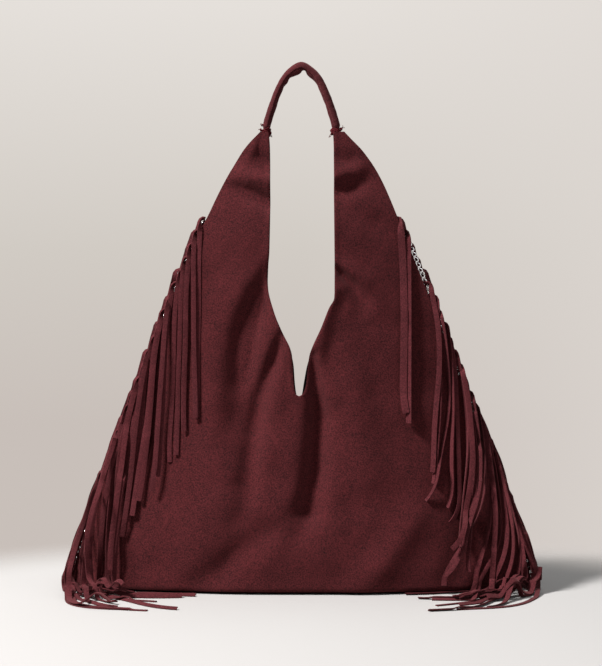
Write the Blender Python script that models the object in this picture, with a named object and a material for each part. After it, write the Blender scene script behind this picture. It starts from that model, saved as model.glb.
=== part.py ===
"""Fringed suede shoulder bag, standing: V-shaped mouth, rolled handle, and a curb chain between two
rows of fringe in each side seam.

Metres, +Z up, +X to the right and +Y to the back. The origin is the middle of the flat base's
underside, which stands on the surface.
"""

import math

import bmesh
import bpy
from mathutils import Vector

# Clearance between pieces that touch on the real bag
GAP = 0.0003

# Thickness of each sheet
SUEDE = 0.0014
FRINGE_SUEDE = 0.0011
LINING = 0.0006
BOARD = 0.0015

# Outline of the front, from the base to the tips of the horns
BASE_HALF_WIDTH = 0.246
BAG_HEIGHT = 0.479
TIP_HALF_WIDTH = 0.041
# The side seam between them: shares of the height, and of the way from the tip's to the base's width
SEAM_SHAPE = (
    (0.219, 0.829),
    (0.430, 0.641),
    (0.641, 0.454),
    (0.808, 0.293),
    (0.904, 0.185),
    (0.956, 0.102),
)

# V-shaped mouth: half widths at heights above its bottom, which hangs a little left of the middle
MOUTH_BOTTOM = 0.202
MOUTH_HALF_WIDTH = 0.0335
MOUTH_SIDES = (
    (0.004, 0.0032),
    (0.017, 0.0062),
    (0.042, 0.0088),
    (0.054, 0.0147),
    (0.080, 0.0252),
    (0.093, 0.0300),
)
MOUTH_FULL = 0.105
MOUTH_SHIFT = 0.0015

# How far the middle of each panel bulges out of the seam plane at the base
BASE_HALF_DEPTH = 0.046
# Above it: shares of the height, and of the bulge at the base
BULGE_SHAPE = (
    (0.104, 0.93),
    (0.209, 0.78),
    (0.313, 0.63),
    (0.422, 0.50),
    (0.543, 0.40),
    (0.641, 0.35),
    (0.752, 0.30),
    (0.852, 0.24),
    (0.919, 0.15),
    (0.965, 0.04),
)
BASE_ROUNDING = 0.008
# Exponent of the bulge across the width: flatter in the middle at the base than higher up
BASE_FLATNESS = 2.8
TOP_FLATNESS = 2.1
TOP_FLATNESS_HEIGHT = 0.250

# Fringe: cut strips on a skived edge that is sewn into the seam
FRINGE_BELOW_TIP = 0.092
FRINGE_BOTTOM = 0.022
STRIP_WIDTH = 0.0052
STRIP_LENGTH = 0.205
STRIP_PITCH = 0.0055
FRINGE_EDGE = 0.008
ARCH_REACH = 0.0080
ARCH_DROP = 0.0056
ARCH_FORWARD = 0.0016
SEAM_CROSSING = 0.014
STANDOFF = 0.0006
FLOOR_BEND = 0.007
FLOOR_CLEARANCE = 0.0001
FLOOR_SWEEP_RADIUS = 0.110
FLOOR_SWEEP_STEP = math.radians(30)
# A cut piece of a strip is at least this share of the step that it is cut from
SHORTEST_STEP = 0.25

# Curb chain in the seam, between the rows of fringe
CHAIN_WIDTH = 0.0072
CHAIN_WAIST = 0.0046
CHAIN_THICKNESS = 0.0020
CHAIN_PITCH = 0.0100
CHAIN_OFFSET = 0.0016
CHAIN_BOTTOM = 0.010

# Rolled handle: how far in and above the middle of a horn's tip it runs, and its apex
HANDLE_RADIUS = 0.00475
HANDLE_SHAPE = (
    (0.0012, 0.0070),
    (0.0040, 0.0170),
    (0.0081, 0.0290),
    (0.0131, 0.0420),
    (0.0200, 0.0550),
    (0.0278, 0.0630),
)
HANDLE_RISE = 0.0675
KINK_EXTRA = 0.0010
KINK_REACH = 0.008
# Flattened end of the handle, sewn inside each horn
TONGUE_HALF_WIDTH = 0.0026
TONGUE_HALF_THICKNESS = 0.0024
TONGUE_DEPTH = 0.014
TACK_THICKNESS = 0.0014

# Lining, sewn into the seams as high as the fringe is, slack between them and set back from the mouth
LINING_MOUTH_INSET = 0.007
LINING_FULLNESS = 0.92
LINING_BRIDGE = 0.010

# Base panel and board, between the panels
BASE_END_INSET = 0.006
BOARD_EDGE_INSET = 0.004
BOARD_END_INSET = 0.024

# Folds of the panels: start x and z, end x and z, half width and depth. A ridge has a negative depth.
FOLDS = (
    (-0.072, 0.426, -0.038, 0.410, 0.010, 0.0040),
    (-0.048, 0.450, -0.036, 0.418, 0.008, 0.0035),
    (0.079, 0.436, 0.037, 0.418, 0.010, 0.0040),
    (-0.039, 0.326, -0.061, 0.261, 0.016, 0.0035),
    (-0.061, 0.261, -0.069, 0.176, 0.018, 0.0035),
    (-0.021, 0.261, -0.043, 0.166, 0.012, 0.0040),
    (0.004, 0.196, 0.006, 0.110, 0.012, 0.0055),
    (0.039, 0.335, 0.062, 0.313, 0.008, 0.0025),
    (0.035, 0.313, 0.018, 0.250, 0.007, -0.0025),
    (0.030, 0.262, 0.013, 0.215, 0.009, 0.0040),
    (-0.105, 0.012, -0.072, 0.046, 0.013, -0.0030),
    (-0.072, 0.046, -0.043, 0.072, 0.013, -0.0025),
    (0.088, 0.012, 0.130, 0.052, 0.014, -0.0030),
)
BACK_FOLD_SHARE = 0.6
# A fold takes at most this share of the bulge, and fades to nothing at the seam by this exponent
FOLD_LIMIT = 0.6
FOLD_FADE = 4

# Rows and columns of each panel's mesh
PANEL_COLUMNS = 7
ROUNDING_ROWS = 2
PANEL_ROWS_BELOW = 9
PANEL_ROWS_ABOVE = 14
LINING_COLUMNS = 5
LINING_ROWS_BELOW = 4
LINING_ROWS_ABOVE = 5
HANDLE_SIDES = 8
SHARP_ANGLE = math.radians(50)

# Sewn stack at the seam, from the seam plane outwards: chain, fringe, lining, panel
STRIP_IN = CHAIN_THICKNESS / 2 + GAP
STRIP_OUT = STRIP_IN + FRINGE_SUEDE
PANEL_IN = STRIP_OUT + GAP + LINING + GAP
# Above the fringe the two panels meet, and the handle's tongue opens the tip again
CLOSED_SEAM = GAP / 2
TONGUE_ROOM = TONGUE_HALF_THICKNESS + GAP
SEAM_CHANGE = 0.038
TONGUE_CHANGE = 0.016

# The handle's foot leans inwards; the tack starts where its tilted ring clears the horn's top edge
HANDLE_LEAN = 0.26
TACK_LOW = BAG_HEIGHT + GAP + HANDLE_LEAN * (TONGUE_HALF_WIDTH + GAP + TACK_THICKNESS)

FRINGE_TOP = BAG_HEIGHT - FRINGE_BELOW_TIP
LINING_LOW = SUEDE + GAP + BOARD + GAP


def smooth_curve(points):
    """A function through the points that rises and falls only where they do (monotone cubic)."""
    xs = [p[0] for p in points]
    ys = [p[1] for p in points]
    steps = [xs[i + 1] - xs[i] for i in range(len(xs) - 1)]
    slopes = [(ys[i + 1] - ys[i]) / steps[i] for i in range(len(steps))]
    tangents = [slopes[0]]
    for before, after in zip(slopes, slopes[1:]):
        same_way = before * after > 0
        tangents.append(2 * before * after / (before + after) if same_way else 0.0)
    tangents.append(slopes[-1])

    def value(x):
        x = min(max(x, xs[0]), xs[-1])
        i = 0
        while i < len(steps) - 1 and x > xs[i + 1]:
            i += 1
        t = (x - xs[i]) / steps[i]
        stay = (2 * t ** 3 - 3 * t ** 2 + 1, 3 * t ** 2 - 2 * t ** 3)
        turn = (t ** 3 - 2 * t ** 2 + t, t ** 3 - t ** 2)
        value_part = stay[0] * ys[i] + stay[1] * ys[i + 1]
        return value_part + steps[i] * (turn[0] * tangents[i] + turn[1] * tangents[i + 1])

    return value


def scaled(points, width, height):
    """Points whose two values are shares of these sizes."""
    return tuple((share * width, part * height) for share, part in points)


seam_widening = smooth_curve(
    scaled(((0.0, 1.0),) + SEAM_SHAPE + ((1.0, 0.0),), BAG_HEIGHT, BASE_HALF_WIDTH - TIP_HALF_WIDTH)
)
mouth_opening = smooth_curve(
    ((0.0, 0.0),) + MOUTH_SIDES + ((MOUTH_FULL, MOUTH_HALF_WIDTH), (BAG_HEIGHT, MOUTH_HALF_WIDTH))
)
bulge_depth = smooth_curve(
    scaled(((0.0, 1.0),) + BULGE_SHAPE + ((1.0, 0.0),), BAG_HEIGHT, BASE_HALF_DEPTH)
)
seam_gap = smooth_curve(
    (
        (0.0, PANEL_IN),
        (FRINGE_TOP + FRINGE_EDGE / 2, PANEL_IN),
        (FRINGE_TOP + FRINGE_EDGE / 2 + SEAM_CHANGE, CLOSED_SEAM),
        (BAG_HEIGHT - TONGUE_DEPTH - 2 * GAP - TONGUE_CHANGE, CLOSED_SEAM),
        (BAG_HEIGHT - TONGUE_DEPTH - 2 * GAP, TONGUE_ROOM),
        (BAG_HEIGHT, TONGUE_ROOM),
    )
)


def seam_half_width(z):
    """Half width of the bag at a height, at its side seams."""
    return TIP_HALF_WIDTH + seam_widening(z)


def mouth_half(z):
    """Half width of the V at a height; 0 below it."""
    return mouth_opening(z - MOUTH_BOTTOM) if z > MOUTH_BOTTOM else 0.0


def mouth_middle(z):
    """Where the middle line of a panel runs: it leans towards the V's bottom, off centre."""
    above = (z - MOUTH_BOTTOM) / (MOUTH_FULL / 2)
    below = (MOUTH_BOTTOM - z) / MOUTH_BOTTOM
    return -MOUTH_SHIFT * max(0.0, 1.0 - (above if z > MOUTH_BOTTOM else below))


def distance_to_segment(x, z, x0, z0, x1, z1):
    """Distance from a point to a segment, both seen from the front."""
    dx, dz = x1 - x0, z1 - z0
    along = ((x - x0) * dx + (z - z0) * dz) / (dx * dx + dz * dz)
    along = min(max(along, 0.0), 1.0)
    return math.hypot(x - x0 - along * dx, z - z0 - along * dz)


def fold_depth(x, z):
    """Sum of the folds at a point of the front panel."""
    total = 0.0
    for x0, z0, x1, z1, half_width, depth in FOLDS:
        distance = distance_to_segment(x, z, x0, z0, x1, z1)
        total += depth * math.exp(-((distance / half_width) ** 2))
    return total


def bulge_at(x, z, side):
    """How far a panel stands out past its seam at a point. side is -1 for the front, 1 for the back."""
    half_width = seam_half_width(z)
    t = min(abs(x) / half_width, 1.0)
    share = min(z / TOP_FLATNESS_HEIGHT, 1.0)
    flatness = BASE_FLATNESS + (TOP_FLATNESS - BASE_FLATNESS) * share
    bulge = bulge_depth(z) * (1.0 - t ** flatness)
    fold_share = 1.0 if side < 0 else BACK_FOLD_SHARE
    folds = fold_share * fold_depth(x, z) * (1.0 - t ** FOLD_FADE)
    rounding = 0.0
    if z < BASE_ROUNDING:
        rounding = BASE_ROUNDING - math.sqrt(BASE_ROUNDING ** 2 - (BASE_ROUNDING - z) ** 2)
    rounding = min(rounding, bulge / 2)
    return max(bulge - min(folds, bulge * FOLD_LIMIT) - rounding, 0.0)


def wall_distance(x, z, side):
    """Distance of a panel's inner face from the seam plane."""
    return seam_gap(z) + bulge_at(x, z, side)


def lining_distance(x, z, side):
    """Distance of a lining's inner face from the seam plane: slack, and straight across the folds."""
    reach = (-LINING_BRIDGE, 0.0, LINING_BRIDGE)
    nearby = [bulge_at(x + dx, max(z + dz, 0.0), side) for dx in reach for dz in reach]
    return seam_gap(z) - GAP - LINING + LINING_FULLNESS * min(nearby)


def make_material(name, colour, roughness, metallic=0.0):
    """A Principled material from an sRGB colour."""
    material = bpy.data.materials.new(name)
    material.use_nodes = True
    shader = material.node_tree.nodes["Principled BSDF"]
    linear = [c / 12.92 if c <= 0.04045 else ((c + 0.055) / 1.055) ** 2.4 for c in colour]
    shader.inputs["Base Color"].default_value = (*linear, 1.0)
    shader.inputs["Roughness"].default_value = roughness
    shader.inputs["Metallic"].default_value = metallic
    material.diffuse_color = (*linear, 1.0)
    return material


def add_object(name, bm, material):
    """Turns a closed bmesh into a named object with its faces pointing out."""
    bmesh.ops.recalc_face_normals(bm, faces=bm.faces[:])
    mesh = bpy.data.meshes.new(name)
    bm.to_mesh(mesh)
    bm.free()
    mesh.materials.append(material)
    mesh.shade_smooth()
    mesh.set_sharp_from_angle(angle=SHARP_ANGLE)
    thing = bpy.data.objects.new(name, mesh)
    bpy.context.scene.collection.objects.link(thing)
    return thing


def spaced(low, high, count):
    """count heights from low, evenly, with high itself left to the next run."""
    return [low + (high - low) * i / count for i in range(count)]


def close_sheet(bm, outer, inner, quads):
    """Builds both faces of a sheet from matching vertices, and the walls along its open edges."""
    edge_uses = {}
    for quad in quads:
        bm.faces.new([outer[i] for i in quad])
        bm.faces.new([inner[i] for i in reversed(quad)])
        for a, b in zip(quad, quad[1:] + quad[:1]):
            edge_uses.setdefault((min(a, b), max(a, b)), []).append((a, b))
    for uses in edge_uses.values():
        if len(uses) == 1:
            a, b = uses[0]
            bm.faces.new([outer[b], outer[a], inner[a], inner[b]])


def panel_sheet(side, rows, columns, mouth_inset, distance, thickness):
    """A panel or its lining: two halves of a grid that share the middle line below the V."""
    mouth_start = MOUTH_BOTTOM - mouth_inset
    bm = bmesh.new()
    outer = []
    inner = []
    grid = {}

    def add_vertex(key, x, z):
        wall = distance(x, z, side)
        grid[key] = len(outer)
        outer.append(bm.verts.new((x, side * (wall + thickness), z)))
        inner.append(bm.verts.new((x, side * wall, z)))

    for row, z in enumerate(rows):
        seam = seam_half_width(z)
        middle = mouth_middle(z)
        opening = mouth_half(z) + mouth_inset if z > mouth_start else 0.0
        for hand in (-1, 1):
            for column in range(columns + 1):
                key = (row, hand * column)
                if key in grid and opening == 0.0:
                    continue
                if column == 0 and opening > 0.0:
                    key = (row, hand * 0.5)
                edge = middle + hand * opening
                x = edge + (hand * seam - edge) * column / columns
                add_vertex(key, x, z)

    def corner(row, hand, column):
        key = (row, hand * column)
        if column == 0 and (row, hand * 0.5) in grid:
            key = (row, hand * 0.5)
        return grid[key]

    quads = []
    for row in range(len(rows) - 1):
        for hand in (-1, 1):
            for column in range(columns):
                quads.append(
                    [
                        corner(row, hand, column),
                        corner(row, hand, column + 1),
                        corner(row + 1, hand, column + 1),
                        corner(row + 1, hand, column),
                    ]
                )
    close_sheet(bm, outer, inner, quads)
    return bm


def make_panel(name, side, material):
    """Front or back panel, from the edge of the base to the horn tips."""
    rows = spaced(0.0, BASE_ROUNDING, ROUNDING_ROWS)
    rows += spaced(BASE_ROUNDING, MOUTH_BOTTOM, PANEL_ROWS_BELOW)
    rows += spaced(MOUTH_BOTTOM, BAG_HEIGHT, PANEL_ROWS_ABOVE) + [BAG_HEIGHT]
    bm = panel_sheet(side, rows, PANEL_COLUMNS, 0.0, wall_distance, SUEDE)
    return add_object(name, bm, material)


def make_lining(name, side, material):
    """Lining behind a panel, from the top of the fringe down to the board."""
    start = MOUTH_BOTTOM - LINING_MOUTH_INSET
    rows = spaced(LINING_LOW, start, LINING_ROWS_BELOW)
    rows += spaced(start, FRINGE_TOP, LINING_ROWS_ABOVE) + [FRINGE_TOP]
    bm = panel_sheet(side, rows, LINING_COLUMNS, LINING_MOUTH_INSET, lining_distance, LINING)
    return add_object(name, bm, material)


def bottom_wall(x, side):
    """Distance of a panel's bottom edge from the seam plane, straight between the panel's columns."""
    column = BASE_HALF_WIDTH / PANEL_COLUMNS
    before = math.floor(x / column)
    share = x / column - before
    near = wall_distance(before * column, 0.0, side)
    far = wall_distance((before + 1) * column, 0.0, side)
    return near + (far - near) * share


def base_outline(end_inset, edge_inset):
    """Outline of a plate between the two panels, at the level of the surface."""
    reach = BASE_HALF_WIDTH - end_inset
    column = BASE_HALF_WIDTH / PANEL_COLUMNS
    inside = [i * column for i in range(-PANEL_COLUMNS, PANEL_COLUMNS + 1) if abs(i * column) < reach]
    xs = [-reach] + inside + [reach]
    front = [(x, -(bottom_wall(x, -1) - GAP - edge_inset)) for x in xs]
    back = [(x, bottom_wall(x, 1) - GAP - edge_inset) for x in reversed(xs)]
    return front + back


def make_plate(name, outline, low, thickness, material):
    """A flat plate: one outline, extruded upwards."""
    bm = bmesh.new()
    floor = bm.faces.new([bm.verts.new((x, y, low)) for x, y in outline])
    wall = bmesh.ops.extrude_face_region(bm, geom=[floor], use_keep_orig=True)
    raised = [item for item in wall["geom"] if isinstance(item, bmesh.types.BMVert)]
    bmesh.ops.translate(bm, vec=(0.0, 0.0, thickness), verts=raised)
    return add_object(name, bm, material)


def seam_point(hand, z):
    """Point of a side seam. hand is -1 for the left seam, 1 for the right one."""
    return Vector((hand * seam_half_width(z), 0.0, z))


def seam_frame(hand, z):
    """Directions at a side seam: down along it, and out of it."""
    step = 0.001
    down = (seam_point(hand, z - step) - seam_point(hand, z + step)).normalized()
    out = Vector((-hand * down.z, 0.0, hand * down.x))
    return down, out


def height_at(half_width):
    """Height at which the side seam has this half width."""
    low, high = 0.0, BAG_HEIGHT
    for _ in range(40):
        middle = (low + high) / 2
        if seam_half_width(middle) > half_width:
            low = middle
        else:
            high = middle
    return (low + high) / 2


def strip_root_heights():
    """Heights of the strips' roots: the strips then hang side by side, STRIP_PITCH apart."""
    first = seam_half_width(FRINGE_TOP) + STRIP_PITCH / 2
    last = seam_half_width(FRINGE_BOTTOM)
    count = int((last - first) / STRIP_PITCH) + 1
    return [height_at(first + i * STRIP_PITCH) for i in range(count)]


def hanging_distance(hand, side, x, z):
    """How far from the seam plane a strip hangs at a height, on or beside the panel."""
    inner_edge = abs(x) - STRIP_WIDTH / 2
    resting = FRINGE_SUEDE / 2 + GAP + STANDOFF
    seam = seam_half_width(z)
    if inner_edge >= seam:
        return PANEL_IN + SUEDE + resting
    return wall_distance(hand * inner_edge, z, side) + SUEDE + resting


def floor_line(side):
    """Distance from the seam plane beyond which every strip already lies on the surface."""
    heights = strip_root_heights()
    touching = [z for z in heights if z < STRIP_LENGTH]
    x = seam_half_width(touching[0]) + ARCH_REACH
    return hanging_distance(1, side, x, FLOOR_BEND) + FLOOR_BEND + FRINGE_SUEDE


def strip_stations(hand, side, root_z):
    """Stations of one strip, each with its middle, half width and half thickness as vectors."""
    outwards = Vector((hand, 0.0, 0.0))
    facing = Vector((0.0, side, 0.0))
    half_width = STRIP_WIDTH / 2
    half_thickness = FRINGE_SUEDE / 2
    middle_y = (STRIP_IN + STRIP_OUT) / 2
    down, _ = seam_frame(hand, root_z)
    rise = -down.z * half_width
    upper = seam_point(hand, root_z + rise)
    lower = seam_point(hand, root_z - rise)
    root = (upper + lower) / 2 + facing * middle_y
    stations = [(root, (upper - lower) / 2, facing * half_thickness)]

    # The arch out of the seam, and the drop past the roots of the next strips
    x = hand * (seam_half_width(root_z) + ARCH_REACH)
    arch_z = root_z - ARCH_DROP
    arch_y = middle_y + ARCH_FORWARD
    stations.append((Vector((x, side * arch_y, arch_z)), outwards * half_width, facing * half_thickness))
    floor_z = FLOOR_CLEARANCE + half_thickness
    bend_z = floor_z + FLOOR_BEND
    crossing_z = root_z - SEAM_CROSSING
    free_end = arch_z - (STRIP_LENGTH - math.hypot(ARCH_REACH, ARCH_DROP))
    levels = [crossing_z, (crossing_z + max(free_end, bend_z)) / 2, max(free_end, bend_z)]
    if crossing_z < bend_z + SEAM_CROSSING:
        levels = [bend_z]
    y = arch_y
    for z in levels:
        y = max(hanging_distance(hand, side, x, z), y)
        stations.append((Vector((x, side * y, z)), outwards * half_width, facing * half_thickness))
    if free_end > bend_z:
        return stations

    # On the surface: forwards to a common line, then round in rings about one centre
    y += FLOOR_BEND
    flat = Vector((0.0, 0.0, half_thickness))
    stations.append((Vector((x, side * y, floor_z)), outwards * half_width, flat))
    outermost = seam_half_width(strip_root_heights()[-1]) + ARCH_REACH
    centre = Vector((hand * (outermost - FLOOR_SWEEP_RADIUS), side * floor_line(side), floor_z))
    radius = abs(x) - abs(centre.x)
    angle = 0.0
    while angle < math.pi / 2 + FLOOR_SWEEP_STEP:
        radial = outwards * math.cos(angle) + facing * math.sin(angle)
        stations.append((centre + radial * radius, radial * half_width, flat))
        angle += FLOOR_SWEEP_STEP
    return cut_to_length(stations, STRIP_LENGTH)


def cut_to_length(stations, length):
    """Leaves out what lies beyond the strip's length, with a new last station at the cut."""
    kept = [stations[0]]
    left = length
    for before, after in zip(stations, stations[1:]):
        step = (after[0] - before[0]).length
        if step >= left:
            share = max(left / step, SHORTEST_STEP)
            kept.append(tuple(a.lerp(b, share) for a, b in zip(before, after)))
            return kept
        kept.append(after)
        left -= step
    return kept


def make_fringe(name, hand, side, material):
    """One row of fringe: a skived edge inside the seam, with the strips growing from it."""
    bm = bmesh.new()
    all_stations = [strip_stations(hand, side, z) for z in strip_root_heights()]

    def edge_ring(point):
        _, out = seam_frame(hand, point.z)
        at_fold = point.copy()
        at_fold.y = 0.0
        thin = at_fold - out * FRINGE_EDGE
        return [
            bm.verts.new(at_fold + Vector((0.0, side * STRIP_IN, 0.0))),
            bm.verts.new(at_fold + Vector((0.0, side * STRIP_OUT, 0.0))),
            bm.verts.new(thin + Vector((0.0, side * (STRIP_IN + STRIP_OUT) / 2, 0.0))),
        ]

    def join_edge(above, below, with_front):
        bm.faces.new([above[0], below[0], below[2], above[2]])
        bm.faces.new([above[1], above[2], below[2], below[1]])
        if with_front:
            bm.faces.new([above[0], above[1], below[1], below[0]])

    previous = edge_ring(seam_point(hand, FRINGE_TOP))
    bm.faces.new(previous)
    for stations in all_stations:
        root, half_width, _ = stations[0]
        above = edge_ring(root + half_width)
        below = edge_ring(root - half_width)
        join_edge(previous, above, True)
        join_edge(above, below, False)
        previous = below
        ring = [above[0], above[1], below[1], below[0]]
        for middle, width, thickness in stations[1:]:
            corners = [width - thickness, width + thickness, -width + thickness, -width - thickness]
            new_ring = [bm.verts.new(middle + corner) for corner in corners]
            for i in range(4):
                j = (i + 1) % 4
                bm.faces.new([ring[i], ring[j], new_ring[j], new_ring[i]])
            ring = new_ring
        bm.faces.new(ring)
    bm.faces.new(previous)
    return add_object(name, bm, material)


def make_chain(name, hand, material):
    """Curb chain as one flat bar with a bulge at each link, half out of the seam."""
    heights = [FRINGE_TOP]
    while heights[-1] > CHAIN_BOTTOM:
        down, _ = seam_frame(hand, heights[-1])
        heights.append(heights[-1] + down.z * CHAIN_PITCH / 2)
    bm = bmesh.new()
    previous = None
    for index, z in enumerate(heights):
        _, out = seam_frame(hand, z)
        half_width = (CHAIN_WIDTH if index % 2 else CHAIN_WAIST) / 2
        middle = seam_point(hand, z) + out * CHAIN_OFFSET
        half_thickness = Vector((0.0, CHAIN_THICKNESS / 2, 0.0))
        corners = [out * half_width, half_thickness, -out * half_width, -half_thickness]
        ring = [bm.verts.new(middle + corner) for corner in corners]
        if previous is None:
            bm.faces.new(ring)
        else:
            for i in range(4):
                j = (i + 1) % 4
                bm.faces.new([previous[i], previous[j], ring[j], ring[i]])
        previous = ring
    bm.faces.new(previous)
    return add_object(name, bm, material)


def handle_stations():
    """Middle points of the handle from the left tongue over the apex to the right tongue."""
    foot = (TIP_HALF_WIDTH + MOUTH_HALF_WIDTH) / 2
    above = [(foot - inwards, BAG_HEIGHT + rise) for inwards, rise in HANDLE_SHAPE]
    right = [(foot + HANDLE_LEAN * (BAG_HEIGHT - z), z) for z in (BAG_HEIGHT - TONGUE_DEPTH, TACK_LOW)]
    right += above
    left = [(-x, z) for x, z in right]
    return left + [(0.0, BAG_HEIGHT + HANDLE_RISE)] + right[::-1]


def handle_radii(x, z):
    """Half sizes of the handle's section at a station: across it, and through the bag."""
    if z <= TACK_LOW:
        return TONGUE_HALF_WIDTH, TONGUE_HALF_THICKNESS
    extra = KINK_EXTRA * math.exp(-((x / KINK_REACH) ** 2))
    return HANDLE_RADIUS + extra, HANDLE_RADIUS + extra


def section_ring(bm, index, grow):
    """Ring of vertices round the handle at a station, larger than it by grow."""
    points = [Vector((x, 0.0, z)) for x, z in handle_stations()]
    before = points[max(index - 1, 0)]
    after = points[min(index + 1, len(points) - 1)]
    along = (after - before).normalized()
    across = Vector((-along.z, 0.0, along.x))
    half_across, half_through = handle_radii(points[index].x, points[index].z)
    ring = []
    for i in range(HANDLE_SIDES):
        angle = 2 * math.pi * (i + 0.5) / HANDLE_SIDES
        offset = across * (half_across + grow) * math.cos(angle)
        offset += Vector((0.0, (half_through + grow) * math.sin(angle), 0.0))
        ring.append(bm.verts.new(points[index] + offset))
    return ring


def join_rings(bm, first, second):
    """Quads between two rings of the same count."""
    for i in range(len(first)):
        j = (i + 1) % len(first)
        bm.faces.new([first[i], first[j], second[j], second[i]])


def make_handle(name, material):
    """Rolled handle with its flattened ends."""
    bm = bmesh.new()
    rings = [section_ring(bm, i, 0.0) for i in range(len(handle_stations()))]
    for first, second in zip(rings, rings[1:]):
        join_rings(bm, first, second)
    bm.faces.new(rings[0])
    bm.faces.new(rings[-1])
    return add_object(name, bm, material)


def make_tack(name, hand, material):
    """Thread wrapped round the foot of the handle, just above the horn tip."""
    last = len(handle_stations()) - 1
    low, high = (1, 2) if hand < 0 else (last - 1, last - 2)
    bm = bmesh.new()
    inside = [section_ring(bm, i, GAP) for i in (low, high)]
    outside = [section_ring(bm, i, GAP + TACK_THICKNESS) for i in (low, high)]
    join_rings(bm, inside[0], inside[1])
    join_rings(bm, inside[1], outside[1])
    join_rings(bm, outside[1], outside[0])
    join_rings(bm, outside[0], inside[0])
    return add_object(name, bm, material)


def build_bag():
    """Builds every piece of the bag."""
    for thing in list(bpy.data.objects):
        bpy.data.objects.remove(thing, do_unlink=True)

    suede = make_material("suede", (0.27, 0.11, 0.12), 0.95)
    fringe_suede = make_material("fringe_suede", (0.33, 0.16, 0.17), 0.95)
    lining = make_material("lining", (0.09, 0.09, 0.10), 0.8)
    board = make_material("board", (0.35, 0.30, 0.25), 0.9)
    thread = make_material("thread", (0.20, 0.08, 0.09), 0.7)
    silver = make_material("silver", (0.75, 0.75, 0.76), 0.25, 1.0)

    make_panel("front_panel", -1, suede)
    make_panel("back_panel", 1, suede)
    make_plate("base_panel", base_outline(BASE_END_INSET, 0.0), 0.0, SUEDE, suede)
    make_plate("base_board", base_outline(BOARD_END_INSET, BOARD_EDGE_INSET), SUEDE + GAP, BOARD, board)
    make_lining("lining_front", -1, lining)
    make_lining("lining_back", 1, lining)
    make_handle("handle", suede)
    for hand, word in ((-1, "left"), (1, "right")):
        make_tack("tack_" + word, hand, thread)
        make_chain("chain_" + word, hand, silver)
        make_fringe("fringe_" + word + "_front", hand, -1, fringe_suede)
        make_fringe("fringe_" + word + "_back", hand, 1, fringe_suede)


build_bag()
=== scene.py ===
# %% [markdown]
# # A fringed suede shoulder bag
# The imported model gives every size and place, and this script gives the looks: folded panels with a
# nap, a wrinkled rolled handle, thread, a real curb chain, and some hundred loose strips of suede.
# It runs from top to bottom, one piece at a time, and everything is in metres with Z up.

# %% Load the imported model
import math

import bmesh
import bpy
import numpy as np
from mathutils import Matrix, Vector, noise


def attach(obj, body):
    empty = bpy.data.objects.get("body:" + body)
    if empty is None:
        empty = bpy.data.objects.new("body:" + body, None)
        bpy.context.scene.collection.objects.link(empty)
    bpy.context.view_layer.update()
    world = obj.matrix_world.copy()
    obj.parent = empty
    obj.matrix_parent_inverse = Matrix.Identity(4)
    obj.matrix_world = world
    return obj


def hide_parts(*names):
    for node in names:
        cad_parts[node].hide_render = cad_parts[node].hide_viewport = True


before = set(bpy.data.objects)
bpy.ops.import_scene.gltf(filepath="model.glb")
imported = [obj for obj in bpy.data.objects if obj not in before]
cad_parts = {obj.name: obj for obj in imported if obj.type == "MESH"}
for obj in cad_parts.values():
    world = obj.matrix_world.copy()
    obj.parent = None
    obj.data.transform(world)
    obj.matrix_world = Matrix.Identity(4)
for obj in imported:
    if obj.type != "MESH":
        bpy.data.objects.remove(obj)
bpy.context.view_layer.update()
bpy.ops.object.select_all(action="DESELECT")

# %% [markdown]
# ## The camera
# A long lens a little below the handle, nearly level. The photograph's perspective gives the focal
# length in pixels and the row of the horizon. Blender fits the sensor to the longer side of the
# picture, so the lens follows from the picture's height.

# %% Camera
IMAGE_HEIGHT = 666
FOCAL_LENGTH_PIXELS = 1809
HORIZON_ROW = 260
SENSOR = 36.0
CAMERA_PLACE = (0.0, -1.90, 0.345)

camera_data = bpy.data.cameras.new("camera")
camera_data.sensor_width = SENSOR
camera_data.lens = SENSOR * FOCAL_LENGTH_PIXELS / IMAGE_HEIGHT
camera = bpy.data.objects.new("camera", camera_data)
camera.location = CAMERA_PLACE
downwards = math.atan((IMAGE_HEIGHT / 2 - HORIZON_ROW) / FOCAL_LENGTH_PIXELS)
camera.rotation_euler = (math.pi / 2 - downwards, 0.0, 0.0)
bpy.context.scene.collection.objects.link(camera)
bpy.context.scene.camera = camera
bpy.context.scene.view_settings.view_transform = "Standard"
print("lens", round(camera_data.lens, 1), "mm, looking down", round(math.degrees(downwards), 2), "deg")

# %% [markdown]
# ## Nodes and colours
# Each material and the background is a small network. One function adds a node, sets it and links it,
# and one turns a colour from sRGB hex to the linear values that Blender's nodes take.


# %% Helpers for colours and nodes
def linear(hex_colour):
    """An sRGB hex colour as linear RGBA."""
    values = [int(hex_colour[i:i + 2], 16) / 255 for i in (1, 3, 5)]
    return tuple(v / 12.92 if v <= 0.04045 else ((v + 0.055) / 1.055) ** 2.4 for v in values) + (1.0,)


def add_node(tree, kind, settings=None, **inputs):
    """Adds a node. Inputs are values, or outputs to link. An input's name has _ for a space, or is _6."""
    node = tree.nodes.new("ShaderNode" + kind)
    for key, value in (settings or {}).items():
        setattr(node, key, value)
    for key, value in inputs.items():
        socket = node.inputs[int(key[1:])] if key[1:].isdigit() else node.inputs[key.replace("_", " ")]
        if isinstance(value, bpy.types.NodeSocket):
            tree.links.new(value, socket)
        else:
            socket.default_value = value
    return node


def colour_ramp(tree, factor, stops):
    """A ramp through (place, colour) stops."""
    node = add_node(tree, "ValToRGB", Fac=factor)
    elements = node.color_ramp.elements
    while len(elements) < len(stops):
        elements.new(0.5)
    for element, (place, colour) in zip(elements, stops):
        element.position = place
        element.color = colour
    return node.outputs["Color"]


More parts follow.
